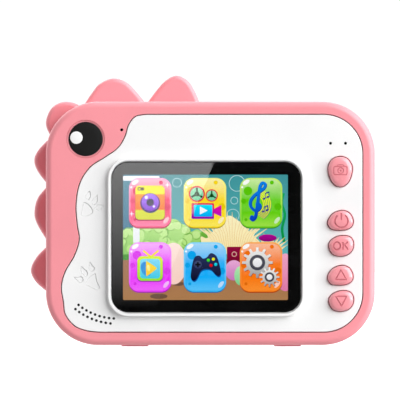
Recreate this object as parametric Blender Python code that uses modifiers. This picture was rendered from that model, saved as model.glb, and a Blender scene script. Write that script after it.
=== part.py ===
"""Kids digital camera: two pink shells with a crest, a white screen panel, and the works between them.

Dimensions are in millimetres and become metres where a mesh is made. +X is to the right as seen from
the screen side, -Y is the screen side, +Y the lens side, +Z up. The origin is under the middle of the
camera, on the plane that its feet stand on.
"""
import math

import bmesh
import bpy
from mathutils import Matrix

MM = 0.001
FIT = 0.3                       # gap between neighbouring solids

# Body outline
BODY_LEFT, BODY_RIGHT = -46.5, 51.05
BODY_BOTTOM, BODY_TOP = 0.4, 72.65
CORNER_R = 15.5
WALL = 1.8
PANEL_T = 2.15                  # the white panel, a little thicker than the pink wall round it
REAR_FACE, FRONT_FACE = -16.6, 13.4
REAR_RIM_R, FRONT_RIM_R = 2.0, 5.0
SEAM = -3.0                     # the rear shell ends here, the front shell one gap further on
PAST = 1.0                      # how far a cutter reaches past the face it opens

# Case screws: bosses, pilot and clearance holes, counterbores
BOSS_REACH, BOSS_R = 11.4, 2.7  # reach is measured from the corner centres of the body
REAR_BOSS_START, PILOT_START = -12.8, -11.2
SCREW_HOLE_R, COUNTERBORE_R, COUNTERBORE_FLOOR = 1.25, 2.1, 1.0

# Screen
DISPLAY_X, DISPLAY_Z = 0.85, 32.4
GLASS_X, GLASS_Z = 1.05, 32.45
GLASS_W, GLASS_H, GLASS_R = 56.3, 44.7, 5.0
GLASS_REAR, GLASS_FRONT = -17.8, -16.6
BEZEL_W, BEZEL_H, BEZEL_R = 58.5, 47.0, 6.2
BEZEL_TOP = -18.1
WINDOW_W, WINDOW_H, WINDOW_R = 52.0, 40.0, 3.0
LCD_W, LCD_H = 59.3, 41.7
LCD_REAR, LCD_FRONT = -14.1, -12.95
TRAY_WALL = 0.7
TRAY_REAR, TRAY_FLOOR, TRAY_FRONT = -13.7, -12.65, -12.2
LCD_TAIL = [(-9, 30), (-9, 24), (-4, 20), (-4, 12), (6, 12), (6, 20), (11, 24), (11, 30)]
LCD_TAIL_REAR, LCD_TAIL_FRONT = -11.8, -11.5

# White panel: flange behind the shell wall, bosses for the circuit board, sound holes
FLANGE_OUT, PANEL_FLANGE_FRONT = 1.2, -13.3
PCB_BOSS_R, PCB_PILOT_R, PCB_PILOT_START = 1.9, 1.05, -14.2
SMALL_HOLE_R = 0.42
GRILLE_X, GRILLE_Z, GRILLE_GAPS = -25.5, 26.2, 8
GRILLE_ARCS = [(17.9, -129.2, -92.7), (19.45, -129.0, -95.4)]     # radius and the angles of both ends

# Circuit board and what is on it
PCB_REAR, PCB_FRONT, PCB_INSET = -10.8, -9.6, 5.0
PCB_SCREWS = [(-12.0, 61.5), (28.0, 61.5), (-12.0, 7.8), (28.0, 7.8)]
NOTCH_R = 3.2                   # board notches round the case screw bosses
SPEAKER_X, SPEAKER_Z, SPEAKER_R = -29.5, 17.5, 10.0
MIC_X, MIC_Z, MIC_REAR, MIC_R, MIC_HOLE_R = -24.0, 64.3, -13.0, 2.0, 0.43
LED_REAR, LED_HALF = -12.0, 0.8
LED_SPOTS = [(37.95, 60.3), (42.4, 60.3)]
BATTERY_X, BATTERY_Y, BATTERY_Z = (-28, 22), (-8.0, -2.0), (29, 63)
USB_Y, USB_Z = -7.7, 24.0
CARD_Y, CARD_Z, CARD_T = -8.2, 44.0, 0.7
LEAD_R = 0.45

# Openings in the right-hand wall: size along Y, size along Z, corner radius
USB_RECESS, USB_HOLE, CARD_SLOT = (6.6, 13.0, 1.6), (3.8, 9.6, 1.8), (1.4, 11.7, 0.3)
USB_RECESS_DEPTH = 0.9
HOLE_DEPTH = 4.0                # cuts right through the wall
FLAP_W, FLAP_H, FLAP_R, FLAP_T, PLUG_END = 6.0, 12.4, 1.8, 0.6, 1.5

# Eye
EYE_X, EYE_Z, EYE_R = -34.7, 61.55, 5.05
EYE_GROOVE_R, EYE_GROOVE_DEPTH = 5.75, 0.8
EYE_PEG_R, EYE_BACK = 1.5, -14.2
GLINT_X, GLINT_Z, GLINT_R = -37.45, 61.95, 1.9

# Buttons: the stack from cap to circuit board
CAP_TOP, CAP_RIM_R = -18.3, 1.3
FLANGE_REAR, FLANGE_FRONT, FLANGE_GROW = -14.15, -13.5, 0.5
PLUNGER_TOP, PLUNGER_END, PLUNGER_R = -13.2, -11.9, 1.5
SWITCH_TOP, SWITCH_HALF = -12.7, 2.6

# Camera optics on the lens side
LENS_X, LENS_Z = 2.3, 37.0
FLASH_Z, FLASH_HOLE_R = 57.0, 2.5
RING_R, SPIGOT_R = 17.5, 14.4
LENS_HOLE_START = 8.0

# Feet
FOOT_W, FOOT_L, FOOT_T, FOOT_R = 8.0, 20.0, 0.9, 3.0
FOOT_Y = -2.0
FOOT_XS = {"foot_left": -20.1, "foot_right": 25.2}

# Button outlines: three pebble shapes, and the buttons that have them with their centres
EGG = [(0, 4.45), (2.25, 3.68), (3.5, 1.42), (3.2, -1.22), (2.08, -3.4), (0.2, -4.44), (-1.8, -3.68),
       (-3.12, -1.32), (-3.5, 1.42), (-2.36, 3.6)]
PEBBLE_UP = [(-3.73, -0.85), (-3.21, 0.85), (-1.7, 2.27), (0.57, 2.88), (2.65, 2.08), (3.69, 0.0), (3.21, -1.8),
             (1.51, -2.69), (-0.76, -2.83), (-2.74, -2.46)]
PEBBLE_DOWN = [(-3.59, 0.1), (-2.84, 1.7), (-1.04, 2.74), (1.13, 2.98), (2.93, 2.36), (3.64, 0.76), (3.31, -1.13),
               (1.89, -2.55), (-0.57, -3.02), (-2.65, -2.17)]
BUTTONS = {"photo": (40.8, 51.85, EGG), "power": (40.9, 37.4, PEBBLE_UP), "ok": (41.05, 29.85, PEBBLE_DOWN),
           "up": (40.85, 21.1, PEBBLE_UP), "down": (41.05, 13.5, PEBBLE_DOWN)}

# White panel outline: straight edges, and the waved left edge from the top edge round to the bottom one
PANEL_TOP, PANEL_RIGHT, PANEL_BOTTOM, PANEL_R = 68.73, 47.38, 4.36, 11.5
PANEL_EDGE = [(-16.5, 68.73), (-19.9, 68.1), (-21.9, 65.6), (-23.0, 62.1), (-25.2, 58.7), (-29.0, 56.0),
              (-33.4, 53.0), (-36.4, 48.2), (-37.45, 42.0), (-37.1, 36.3), (-36.5, 31.6), (-38.0, 26.8),
              (-40.6, 22.3), (-41.8, 17.8), (-41.2, 13.2), (-40.6, 9.5), (-37.9, 6.2), (-34.2, 4.75),
              (-30.5, 4.36)]

# Crest fins: each outline starts and ends inside the wall of the front shell
FIN_REAR, FIN_FRONT, FIN_RIM_R = -0.4, 8.2, 0.9
FINS = [
    [(-35.7, 71.2), (-32.9, 75.4), (-30.6, 78.1), (-26.6, 79.7), (-22.8, 78.6), (-19.8, 75.7), (-16.2, 71.3)],
    [(-17.2, 71.3), (-13.8, 76.0), (-10.9, 79.1), (-7.75, 80.5), (-4.6, 79.1), (-2.4, 75.9), (-0.5, 71.3)],
    [(-35.4, 70.9), (-38.6, 72.5), (-41.9, 72.6), (-44.9, 70.9), (-46.5, 67.6), (-46.4, 64.9), (-44.7, 61.7)],
    [(-45.2, 62.2), (-48.8, 58.5), (-50.1, 55.4), (-49.0, 51.9), (-45.2, 47.0)],
    [(-45.2, 48.6), (-48.9, 44.4), (-50.05, 40.0), (-49.2, 36.2), (-45.2, 29.7)],
    [(-45.2, 30.6), (-49.2, 26.8), (-51.1, 22.7), (-49.6, 19.1), (-45.2, 15.3)],
]

# Colours (linear RGB), roughness and metallic value of each material
FINISHES = {
    "pink_plastic": ((0.93, 0.33, 0.37), 0.38, 0.0),
    "white_plastic": ((0.93, 0.93, 0.93), 0.32, 0.0),
    "black_gloss": ((0.006, 0.006, 0.006), 0.08, 0.0),
    "glass": ((0.01, 0.01, 0.012), 0.04, 0.0),
    "clear_plastic": ((0.80, 0.84, 0.88), 0.06, 0.0),
    "display": ((0.10, 0.35, 0.42), 0.20, 0.0),
    "steel": ((0.55, 0.55, 0.56), 0.30, 1.0),
    "circuit_board": ((0.02, 0.16, 0.06), 0.45, 0.0),
    "chip_black": ((0.015, 0.015, 0.017), 0.55, 0.0),
    "flex_orange": ((0.62, 0.26, 0.04), 0.40, 0.0),
    "battery_wrap": ((0.55, 0.58, 0.62), 0.35, 0.4),
    "red_lead": ((0.55, 0.02, 0.02), 0.50, 0.0),
    "pink_rubber": ((0.85, 0.28, 0.32), 0.65, 0.0),
    "paper_cone": ((0.05, 0.05, 0.05), 0.85, 0.0),
    "led_white": ((0.90, 0.88, 0.70), 0.30, 0.0),
}

for leftover in list(bpy.data.objects):
    bpy.data.objects.remove(leftover, do_unlink=True)

PARTS = bpy.data.collections.new("kids_digital_camera")
CUTTERS = bpy.data.collections.new("cutters")
for group in (PARTS, CUTTERS):
    bpy.context.scene.collection.children.link(group)


# ---------------------------------------------------------------- materials and objects

def material(finish):
    """The named finish as a Principled material, made once."""
    found = bpy.data.materials.get(finish)
    if found:
        return found
    colour, roughness, metallic = FINISHES[finish]
    made = bpy.data.materials.new(finish)
    made.use_nodes = True
    shader = made.node_tree.nodes["Principled BSDF"]
    shader.inputs["Base Color"].default_value = (*colour, 1.0)
    shader.inputs["Roughness"].default_value = roughness
    shader.inputs["Metallic"].default_value = metallic
    made.diffuse_color = (*colour, 1.0)
    return made


def add_object(name, mesh, finish=None, origin=(0, 0, 0)):
    """Link a mesh as a part, or as a cutter where no finish is given; origin is in millimetres."""
    obj = bpy.data.objects.new(name, mesh)
    obj.location = [value * MM for value in origin]
    if finish:
        PARTS.objects.link(obj)
        if not mesh.materials:
            mesh.materials.append(material(finish))
    else:
        CUTTERS.objects.link(obj)
        obj.hide_render = True
        obj.display_type = "WIRE"
    return obj


def as_mesh(obj, finish=None):
    """Replace a curve or a modified object by a plain mesh object of the same shape."""
    bpy.context.view_layer.update()
    evaluated = obj.evaluated_get(bpy.context.evaluated_depsgraph_get())
    mesh = bpy.data.meshes.new_from_object(evaluated)
    name, place = obj.name, obj.matrix_world.copy()
    bpy.data.objects.remove(obj, do_unlink=True)
    bm = bmesh.new()
    bm.from_mesh(mesh)
    bmesh.ops.remove_doubles(bm, verts=bm.verts, dist=1e-7)
    bm.to_mesh(mesh)
    bm.free()
    mesh.transform(place.to_3x3().to_4x4())
    made = add_object(name, mesh, finish)
    made.location = place.translation
    return made


def smooth(obj, angle=35):
    """Shade smooth, with the edges sharper than angle kept sharp."""
    obj.data.shade_smooth()
    obj.data.set_sharp_from_angle(angle=math.radians(angle))
    return obj


# ---------------------------------------------------------------- outlines

def arc(cx, cz, radius, start, end, steps):
    """Points of an arc in degrees, both ends included."""
    angles = [math.radians(start + (end - start) * i / steps) for i in range(steps + 1)]
    return [(cx + radius * math.cos(a), cz + radius * math.sin(a)) for a in angles]


def circle(cx, cz, radius, steps=24):
    return arc(cx, cz, radius, 0, 360 - 360 / steps, steps - 1)


def rounded_rect(left, right, bottom, top, radius, steps=6):
    """A rectangle with round corners, anticlockwise."""
    corners = [(right - radius, top - radius, 0), (left + radius, top - radius, 90),
               (left + radius, bottom + radius, 180), (right - radius, bottom + radius, 270)]
    return [p for cx, cz, a in corners for p in arc(cx, cz, radius, a, a + 90, steps)]


def centred_rect(cx, cz, width, height, radius, steps=4):
    return rounded_rect(cx - width / 2, cx + width / 2, cz - height / 2, cz + height / 2, radius, steps)


def curve_through(points, per_span, closed=False):
    """Catmull-Rom points through the given ones."""
    count = len(points)
    made = []
    for i in range(count if closed else count - 1):
        if closed:
            a, b, c, d = (points[(i + k) % count] for k in (-1, 0, 1, 2))
        else:
            a, b, c, d = (points[min(max(i + k, 0), count - 1)] for k in (-1, 0, 1, 2))
        for step in range(per_span):
            t = step / per_span
            made.append(tuple(
                0.5 * (2 * b[k] + (c[k] - a[k]) * t + (2 * a[k] - 5 * b[k] + 4 * c[k] - d[k]) * t * t
                       + (3 * b[k] - a[k] - 3 * c[k] + d[k]) * t ** 3) for k in (0, 1)))
    return made if closed else made + [points[-1]]


def offset_loop(points, distance):
    """Move a closed anticlockwise outline outwards by distance."""
    made = []
    count = len(points)
    for i, (x, z) in enumerate(points):
        px, pz = points[i - 1]
        nx, nz = points[(i + 1) % count]
        before = math.atan2(z - pz, x - px)
        after = math.atan2(nz - z, nx - x)
        half_turn = math.remainder(after - before, math.tau) / 2
        across = before + half_turn - math.pi / 2
        reach = distance / math.cos(half_turn)
        made.append((x + reach * math.cos(across), z + reach * math.sin(across)))
    return made


def panel_outline():
    """The white panel's outline, anticlockwise from the top of its right-hand corner."""
    centre_x = PANEL_RIGHT - PANEL_R
    left_edge = curve_through(PANEL_EDGE, 2)
    bottom = arc(centre_x, PANEL_BOTTOM + PANEL_R, PANEL_R, 270, 360, 6)
    top = arc(centre_x, PANEL_TOP - PANEL_R, PANEL_R, 0, 90, 6)
    return top + left_edge + bottom


def body_outline():
    return rounded_rect(BODY_LEFT, BODY_RIGHT, BODY_BOTTOM, BODY_TOP, CORNER_R)


def corner_spots():
    """Centres of the four case screw bosses."""
    reach = BOSS_REACH * math.sqrt(0.5)
    left, right = BODY_LEFT + CORNER_R - reach, BODY_RIGHT - CORNER_R + reach
    low, high = BODY_BOTTOM + CORNER_R - reach, BODY_TOP - CORNER_R + reach
    return {"top_left": (left, high), "top_right": (right, high),
            "bottom_left": (left, low), "bottom_right": (right, low)}


# ---------------------------------------------------------------- solids

TURN = {"Y": Matrix.Rotation(math.pi / 2, 4, "X"),
        "X": Matrix(((0, 0, 1, 0), (1, 0, 0, 0), (0, 1, 0, 0), (0, 0, 0, 1))),
        "Z": Matrix.Identity(4)}


def extrude(name, loops, low, high, finish=None, axis="Y", origin=(0, 0, 0)):
    """A flat solid between low and high along axis; the first loop is its outside, the rest are holes.

    Loops are (x, z) across Y, (y, z) across X and (x, y) across Z.
    """
    curve = bpy.data.curves.new(name, "CURVE")
    curve.dimensions = "2D"
    curve.fill_mode = "BOTH"
    curve.extrude = (high - low) / 2 * MM
    for loop in loops:
        spline = curve.splines.new("POLY")
        spline.points.add(len(loop) - 1)
        spline.use_cyclic_u = True
        for point, (u, v) in zip(spline.points, loop):
            point.co = (u * MM, v * MM, 0, 1)
    sheet = bpy.data.objects.new(name, curve)
    bpy.context.scene.collection.objects.link(sheet)
    solid = as_mesh(sheet, finish)
    middle = {"Y": (0, 1, 0), "X": (1, 0, 0), "Z": (0, 0, 1)}[axis]
    shift = [k * (low + high) / 2 * MM - o * MM for k, o in zip(middle, origin)]
    solid.data.transform(Matrix.Translation(shift) @ TURN[axis])
    solid.location = [value * MM for value in origin]
    if len(loops) == 1:
        join_caps(solid.data, {"Y": 1, "X": 0, "Z": 2}[axis])
    return solid


def join_caps(mesh, axis_index):
    """Turn the triangles of each flat end into one face."""
    bm = bmesh.new()
    bm.from_mesh(mesh)
    bm.normal_update()
    for side in (-1, 1):
        cap = [f for f in bm.faces if f.normal[axis_index] * side > 0.99]
        bmesh.ops.dissolve_faces(bm, faces=cap)
    bm.to_mesh(mesh)
    bm.free()


def round_rim(obj, y, radius, segments):
    """Round the edge between the sides and the flat end at y, measured in the object's own frame."""
    bm = bmesh.new()
    bm.from_mesh(obj.data)
    rim = [e for e in bm.edges if all(abs(v.co.y - y * MM) < 1e-6 for v in e.verts)]
    bmesh.ops.bevel(bm, geom=rim, offset=radius * MM, offset_type="OFFSET", segments=segments,
                    profile=0.5, affect="EDGES", clamp_overlap=False)
    bm.to_mesh(obj.data)
    bm.free()


def cylinder(name, x, z, low, high, radius, segments=20, finish=None):
    """A round solid along Y."""
    mesh = bpy.data.meshes.new(name)
    bm = bmesh.new()
    bmesh.ops.create_cone(bm, cap_ends=True, segments=segments, radius1=radius * MM, radius2=radius * MM,
                          depth=(high - low) * MM, matrix=TURN["Y"])
    bm.to_mesh(mesh)
    bm.free()
    return add_object(name, mesh, finish, (x, (low + high) / 2, z))


def box(name, xs, ys, zs, finish=None, edge=0.0):
    """A block between the pairs xs, ys and zs, its edges rounded where edge is given."""
    spans = [(low, high) for low, high in (xs, ys, zs)]
    size = Matrix.Diagonal([(high - low) * MM for low, high in spans] + [1])
    mesh = bpy.data.meshes.new(name)
    bm = bmesh.new()
    bmesh.ops.create_cube(bm, size=1.0, matrix=size)
    if edge:
        bmesh.ops.bevel(bm, geom=bm.edges[:], offset=edge * MM, offset_type="OFFSET", segments=1,
                        affect="EDGES")
    bm.to_mesh(mesh)
    bm.free()
    return add_object(name, mesh, finish, [(low + high) / 2 for low, high in spans])


def turned(name, x, z, profile, finish=None, steps=24, ring=False):
    """A turned solid about a line along Y. The profile is (radius, y), lens side first; a ring closes."""
    mesh = bpy.data.meshes.new(name)
    count = len(profile)
    edges = [(i, i + 1) for i in range(count - 1)] + ([(count - 1, 0)] if ring else [])
    mesh.from_pydata([(radius * MM, 0, y * MM) for radius, y in profile], edges, [])
    obj = add_object(name, mesh, finish, (x, 0, z))
    obj.rotation_euler = (-math.pi / 2, 0, 0)
    screw = obj.modifiers.new("turn", "SCREW")
    screw.steps = screw.render_steps = steps
    screw.use_merge_vertices = True
    screw.merge_threshold = 0.000001
    return as_mesh(obj, finish)


def wire(name, points, radius, finish):
    """A soft lead on a smooth curve through its points."""
    flat = [curve_through([(p[0], p[k]) for p in points], 3) for k in (1, 2)]
    curve = bpy.data.curves.new(name, "CURVE")
    curve.dimensions = "3D"
    curve.bevel_depth = radius * MM
    curve.bevel_resolution = 2
    curve.use_fill_caps = True
    spline = curve.splines.new("POLY")
    spline.points.add(len(flat[0]) - 1)
    for point, (x, y), (_, z) in zip(spline.points, *flat):
        point.co = (x * MM, y * MM, z * MM, 1)
    curve.materials.append(material(finish))
    obj = bpy.data.objects.new(name, curve)
    PARTS.objects.link(obj)
    return obj


def boolean(obj, tools, operation):
    """Join or cut obj with the tools, kept as modifiers."""
    for tool in tools:
        modifier = obj.modifiers.new(tool.name, "BOOLEAN")
        modifier.operation = operation
        modifier.object = tool
        modifier.solver = "EXACT"


# ---------------------------------------------------------------- shells and feet

def shell(name, closed_y, open_y, rim_radius, finish):
    """A tray of the body's outline with one flat closed side, walls WALL thick."""
    low, high = sorted((closed_y, open_y))
    tray = extrude(name, [body_outline()], low, high, finish)
    round_rim(tray, closed_y, rim_radius, 3)
    bm = bmesh.new()
    bm.from_mesh(tray.data)
    open_side = [f for f in bm.faces if all(abs(v.co.y - open_y * MM) < 1e-6 for v in f.verts)]
    bmesh.ops.delete(bm, geom=open_side, context="FACES_ONLY")
    bm.to_mesh(tray.data)
    bm.free()
    thickness = tray.modifiers.new("wall", "SOLIDIFY")
    thickness.thickness = WALL * MM
    thickness.offset = -1
    thickness.use_even_offset = True
    return as_mesh(tray, finish)


def foot_recesses():
    """Shallow pockets for the feet, across the seam of the two shells."""
    wide, long = FOOT_W + 2 * FIT, FOOT_L + 2 * FIT
    return [extrude(name + "_recess", [centred_rect(x, FOOT_Y, wide, long, FOOT_R)], -PAST, FOOT_T + FIT,
                    axis="Z") for name, x in FOOT_XS.items()]


def side_opening(name, y, z, size, depth):
    """A cutter for an opening in the right-hand wall."""
    width, height, radius = size
    return extrude(name, [centred_rect(y, z, width, height, radius)], BODY_RIGHT - depth, BODY_RIGHT + PAST,
                   axis="X")


def rear_shell(recesses):
    obj = shell("rear_shell", REAR_FACE, SEAM, REAR_RIM_R, "pink_plastic")
    spots = corner_spots().items()
    bosses = [cylinder("rear_boss_" + spot, x, z, REAR_BOSS_START, SEAM - 0.01, BOSS_R)
              for spot, (x, z) in spots]
    boolean(obj, bosses, "UNION")
    outside, inside = REAR_FACE - PAST, REAR_FACE + WALL + 0.6
    opening = extrude("panel_opening", [offset_loop(panel_outline(), FIT)], outside, inside)
    pilots = [cylinder("pilot_" + spot, x, z, PILOT_START, SEAM + PAST, SCREW_HOLE_R, 12)
              for spot, (x, z) in spots]
    groove = cylinder("eye_groove", EYE_X, EYE_Z, outside, REAR_FACE + EYE_GROOVE_DEPTH, EYE_GROOVE_R, 32)
    peg_hole = cylinder("eye_peg_hole", EYE_X, EYE_Z, outside, inside, EYE_PEG_R + FIT, 12)
    mic_hole = cylinder("mic_hole", MIC_X, MIC_Z, outside, inside, MIC_HOLE_R, 10)
    boolean(obj, [opening, *pilots, groove, peg_hole, mic_hole,
                  side_opening("usb_recess", USB_Y, USB_Z, USB_RECESS, USB_RECESS_DEPTH),
                  side_opening("usb_hole", USB_Y, USB_Z, USB_HOLE, HOLE_DEPTH),
                  side_opening("card_slot", CARD_Y, CARD_Z, CARD_SLOT, HOLE_DEPTH), *recesses], "DIFFERENCE")
    return smooth(obj)


def front_shell(recesses):
    obj = shell("front_shell", FRONT_FACE, SEAM + FIT, FRONT_RIM_R, "pink_plastic")
    fins = []
    for number, crest in enumerate(FINS):
        fin = extrude("fin_%d" % number, [curve_through(crest, 2)], FIN_REAR, FIN_FRONT)
        round_rim(fin, FIN_REAR, FIN_RIM_R, 1)
        round_rim(fin, FIN_FRONT, FIN_RIM_R, 1)
        fins.append(fin)
    spots = corner_spots().items()
    bosses = [cylinder("front_boss_" + spot, x, z, SEAM + FIT + 0.01, FRONT_FACE - WALL + 0.1, BOSS_R)
              for spot, (x, z) in spots]
    boolean(obj, fins + bosses, "UNION")
    outside = FRONT_FACE + PAST
    cutters = [cylinder("lens_hole", LENS_X, LENS_Z, LENS_HOLE_START, outside, SPIGOT_R + FIT, 32),
               cylinder("flash_hole", LENS_X, FLASH_Z, LENS_HOLE_START, outside, FLASH_HOLE_R, 16)]
    for spot, (x, z) in spots:
        cutters.append(cylinder("counterbore_" + spot, x, z, COUNTERBORE_FLOOR, outside, COUNTERBORE_R, 16))
        cutters.append(cylinder("clearance_" + spot, x, z, SEAM - PAST, COUNTERBORE_FLOOR + PAST,
                                SCREW_HOLE_R, 12))
    boolean(obj, cutters + recesses, "DIFFERENCE")
    return smooth(obj)


def feet():
    for name, x in FOOT_XS.items():
        smooth(extrude(name, [centred_rect(x, FOOT_Y, FOOT_W, FOOT_L, FOOT_R)], 0, FOOT_T, "pink_rubber", "Z"))


# ---------------------------------------------------------------- screen panel and eye

def grille_holes():
    """Two arcs of sound holes round one centre."""
    return [circle(x, z, SMALL_HOLE_R, 8) for radius, start, end in GRILLE_ARCS
            for x, z in arc(GRILLE_X, GRILLE_Z, radius, start, end, GRILLE_GAPS)]


def button_outline(key, grow=0.0):
    x, z, points = BUTTONS[key]
    loop = curve_through(points[::-1], 2, closed=True)
    return [(x + u, z + v) for u, v in offset_loop(loop, grow)]


def rear_panel():
    outline = panel_outline()
    plate_back = REAR_FACE + PANEL_T
    obj = extrude("rear_panel", [outline], REAR_FACE, plate_back, "white_plastic")
    bezel = extrude("bezel", [centred_rect(GLASS_X + 0.1, GLASS_Z, BEZEL_W, BEZEL_H, BEZEL_R, 5)],
                    BEZEL_TOP, REAR_FACE + 0.2)
    flange = extrude("panel_flange", [offset_loop(outline, FLANGE_OUT)], REAR_FACE + WALL + FIT,
                     PANEL_FLANGE_FRONT)
    boolean(obj, [bezel, flange], "UNION")
    pocket = extrude("panel_pocket", [offset_loop(outline, -FLANGE_OUT)], plate_back, PANEL_FLANGE_FRONT + PAST)
    boolean(obj, [pocket], "DIFFERENCE")
    bosses = [cylinder("pcb_boss_%d" % i, x, z, plate_back - 0.2, PCB_REAR - FIT, PCB_BOSS_R, 12)
              for i, (x, z) in enumerate(PCB_SCREWS)]
    boolean(obj, bosses, "UNION")
    pilots = [cylinder("pcb_pilot_%d" % i, x, z, PCB_PILOT_START, PCB_REAR, PCB_PILOT_R, 10)
              for i, (x, z) in enumerate(PCB_SCREWS)]
    wide, high, radius = GLASS_W + 2 * FIT, GLASS_H + 2 * FIT, GLASS_R + FIT
    seat = extrude("glass_seat", [centred_rect(GLASS_X, GLASS_Z, wide, high, radius)], BEZEL_TOP - PAST,
                   GLASS_FRONT + FIT)
    outside, inside = REAR_FACE - PAST, plate_back + PAST
    window = extrude("window", [centred_rect(DISPLAY_X, DISPLAY_Z, WINDOW_W, WINDOW_H, WINDOW_R)], outside, inside)
    button_openings = extrude("button_openings", [button_outline(key, FIT) for key in BUTTONS],
                              outside, inside)
    leds = [circle(x, z, SMALL_HOLE_R, 8) for x, z in LED_SPOTS]
    small_holes = extrude("small_holes", leds + grille_holes(), outside, inside)
    boolean(obj, [*pilots, seat, window, button_openings, small_holes], "DIFFERENCE")
    return smooth(obj)


def eye():
    disc = turned("eye_disc", EYE_X, EYE_Z, [
        (0, EYE_BACK), (EYE_PEG_R, EYE_BACK), (EYE_PEG_R, -16.1), (EYE_R, -16.1), (EYE_R, -17.0), (4.6, -17.5),
        (3.2, -17.8), (0, -17.9)], "black_gloss", 32)
    pocket = cylinder("glint_pocket", GLINT_X, GLINT_Z, -18.5, -17.0, GLINT_R + 0.15, 20)
    boolean(disc, [pocket], "DIFFERENCE")
    smooth(disc)
    glint = turned("eye_glint", GLINT_X, GLINT_Z, [(0, -17.3), (GLINT_R, -17.3), (GLINT_R, -17.75), (0, -17.9)],
                   "white_plastic", 20)
    smooth(glint)


def screen():
    glass = extrude("screen_glass", [centred_rect(GLASS_X, GLASS_Z, GLASS_W, GLASS_H, GLASS_R, 6)],
                    GLASS_REAR, GLASS_FRONT, "glass")
    round_rim(glass, GLASS_REAR, 0.25, 1)
    left, right = DISPLAY_X - LCD_W / 2, DISPLAY_X + LCD_W / 2
    low, high = DISPLAY_Z - LCD_H / 2, DISPLAY_Z + LCD_H / 2
    box("lcd_panel", (left, right), (LCD_REAR, LCD_FRONT), (low, high), "display", 0.2)
    grow = TRAY_WALL + FIT
    tray = box("lcd_frame", (left - grow, right + grow), (TRAY_REAR, TRAY_FRONT), (low - grow, high + grow),
               "steel")
    inside = box("tray_inside", (left - FIT, right + FIT), (TRAY_REAR - PAST, TRAY_FLOOR),
                 (low - FIT, high + FIT))
    boolean(tray, [inside], "DIFFERENCE")
    extrude("lcd_flex", [LCD_TAIL], LCD_TAIL_REAR, LCD_TAIL_FRONT, "flex_orange")


# ---------------------------------------------------------------- buttons

def button(key):
    """A domed cap in its panel opening, on the plunger of a tactile switch."""
    x, z, _ = BUTTONS[key]
    origin = (x, CAP_TOP, z)
    cap = extrude("button_" + key, [button_outline(key)], CAP_TOP, FLANGE_FRONT, "pink_plastic", origin=origin)
    round_rim(cap, 0, CAP_RIM_R, 3)
    flange = extrude("flange_" + key, [button_outline(key, FLANGE_GROW)], FLANGE_REAR, FLANGE_FRONT + 0.01)
    boolean(cap, [flange], "UNION")
    smooth(cap)
    body = box("switch_" + key, (x - SWITCH_HALF, x + SWITCH_HALF), (SWITCH_TOP, PCB_REAR - FIT),
               (z - SWITCH_HALF, z + SWITCH_HALF), "chip_black")
    bore = cylinder("switch_bore_" + key, x, z, SWITCH_TOP - PAST, PLUNGER_END + 0.5, PLUNGER_R + FIT, 12)
    boolean(body, [bore], "DIFFERENCE")
    smooth(cylinder("plunger_" + key, x, z, PLUNGER_TOP, PLUNGER_END, PLUNGER_R, 12, "steel"))


# ---------------------------------------------------------------- circuit board, power and sound

def circuit_board():
    outline = rounded_rect(BODY_LEFT + PCB_INSET, BODY_RIGHT - PCB_INSET, BODY_BOTTOM + PCB_INSET,
                           BODY_TOP - PCB_INSET, CORNER_R - PCB_INSET, 5)
    holes = [circle(x, z, SCREW_HOLE_R, 10) for x, z in PCB_SCREWS]
    board = extrude("main_pcb", [outline, *holes], PCB_REAR, PCB_FRONT, "circuit_board")
    notches = [cylinder("pcb_notch_" + spot, x, z, PCB_REAR - PAST, PCB_FRONT + PAST, NOTCH_R, 20)
               for spot, (x, z) in corner_spots().items()]
    notches.append(cylinder("speaker_notch", SPEAKER_X, SPEAKER_Z, PCB_REAR - PAST, PCB_FRONT + PAST,
                            SPEAKER_R + 0.5, 28))
    boolean(board, notches, "DIFFERENCE")
    chip_rear = PCB_FRONT + FIT
    box("processor_chip", (-6, 4), (chip_rear, chip_rear + 1.1), (12, 22), "chip_black", 0.1)
    smooth(cylinder("microphone", MIC_X, MIC_Z, MIC_REAR, PCB_REAR - FIT, MIC_R, 16, "steel"))
    for number, (x, z) in enumerate(LED_SPOTS, 1):
        box("status_led_%d" % number, (x - LED_HALF, x + LED_HALF), (LED_REAR, PCB_REAR - FIT),
            (z - LED_HALF, z + LED_HALF), "led_white")
    box("battery", BATTERY_X, BATTERY_Y, BATTERY_Z, "battery_wrap", 0.8)
    wire("battery_lead", [(-24, -7.4, 28.2), (-24, -6.0, 26.6), (-18, -6.4, 25.0), (-11, -8.0, 23.0),
                          (-9.5, -8.8, 20.5)], LEAD_R, "red_lead")


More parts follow.
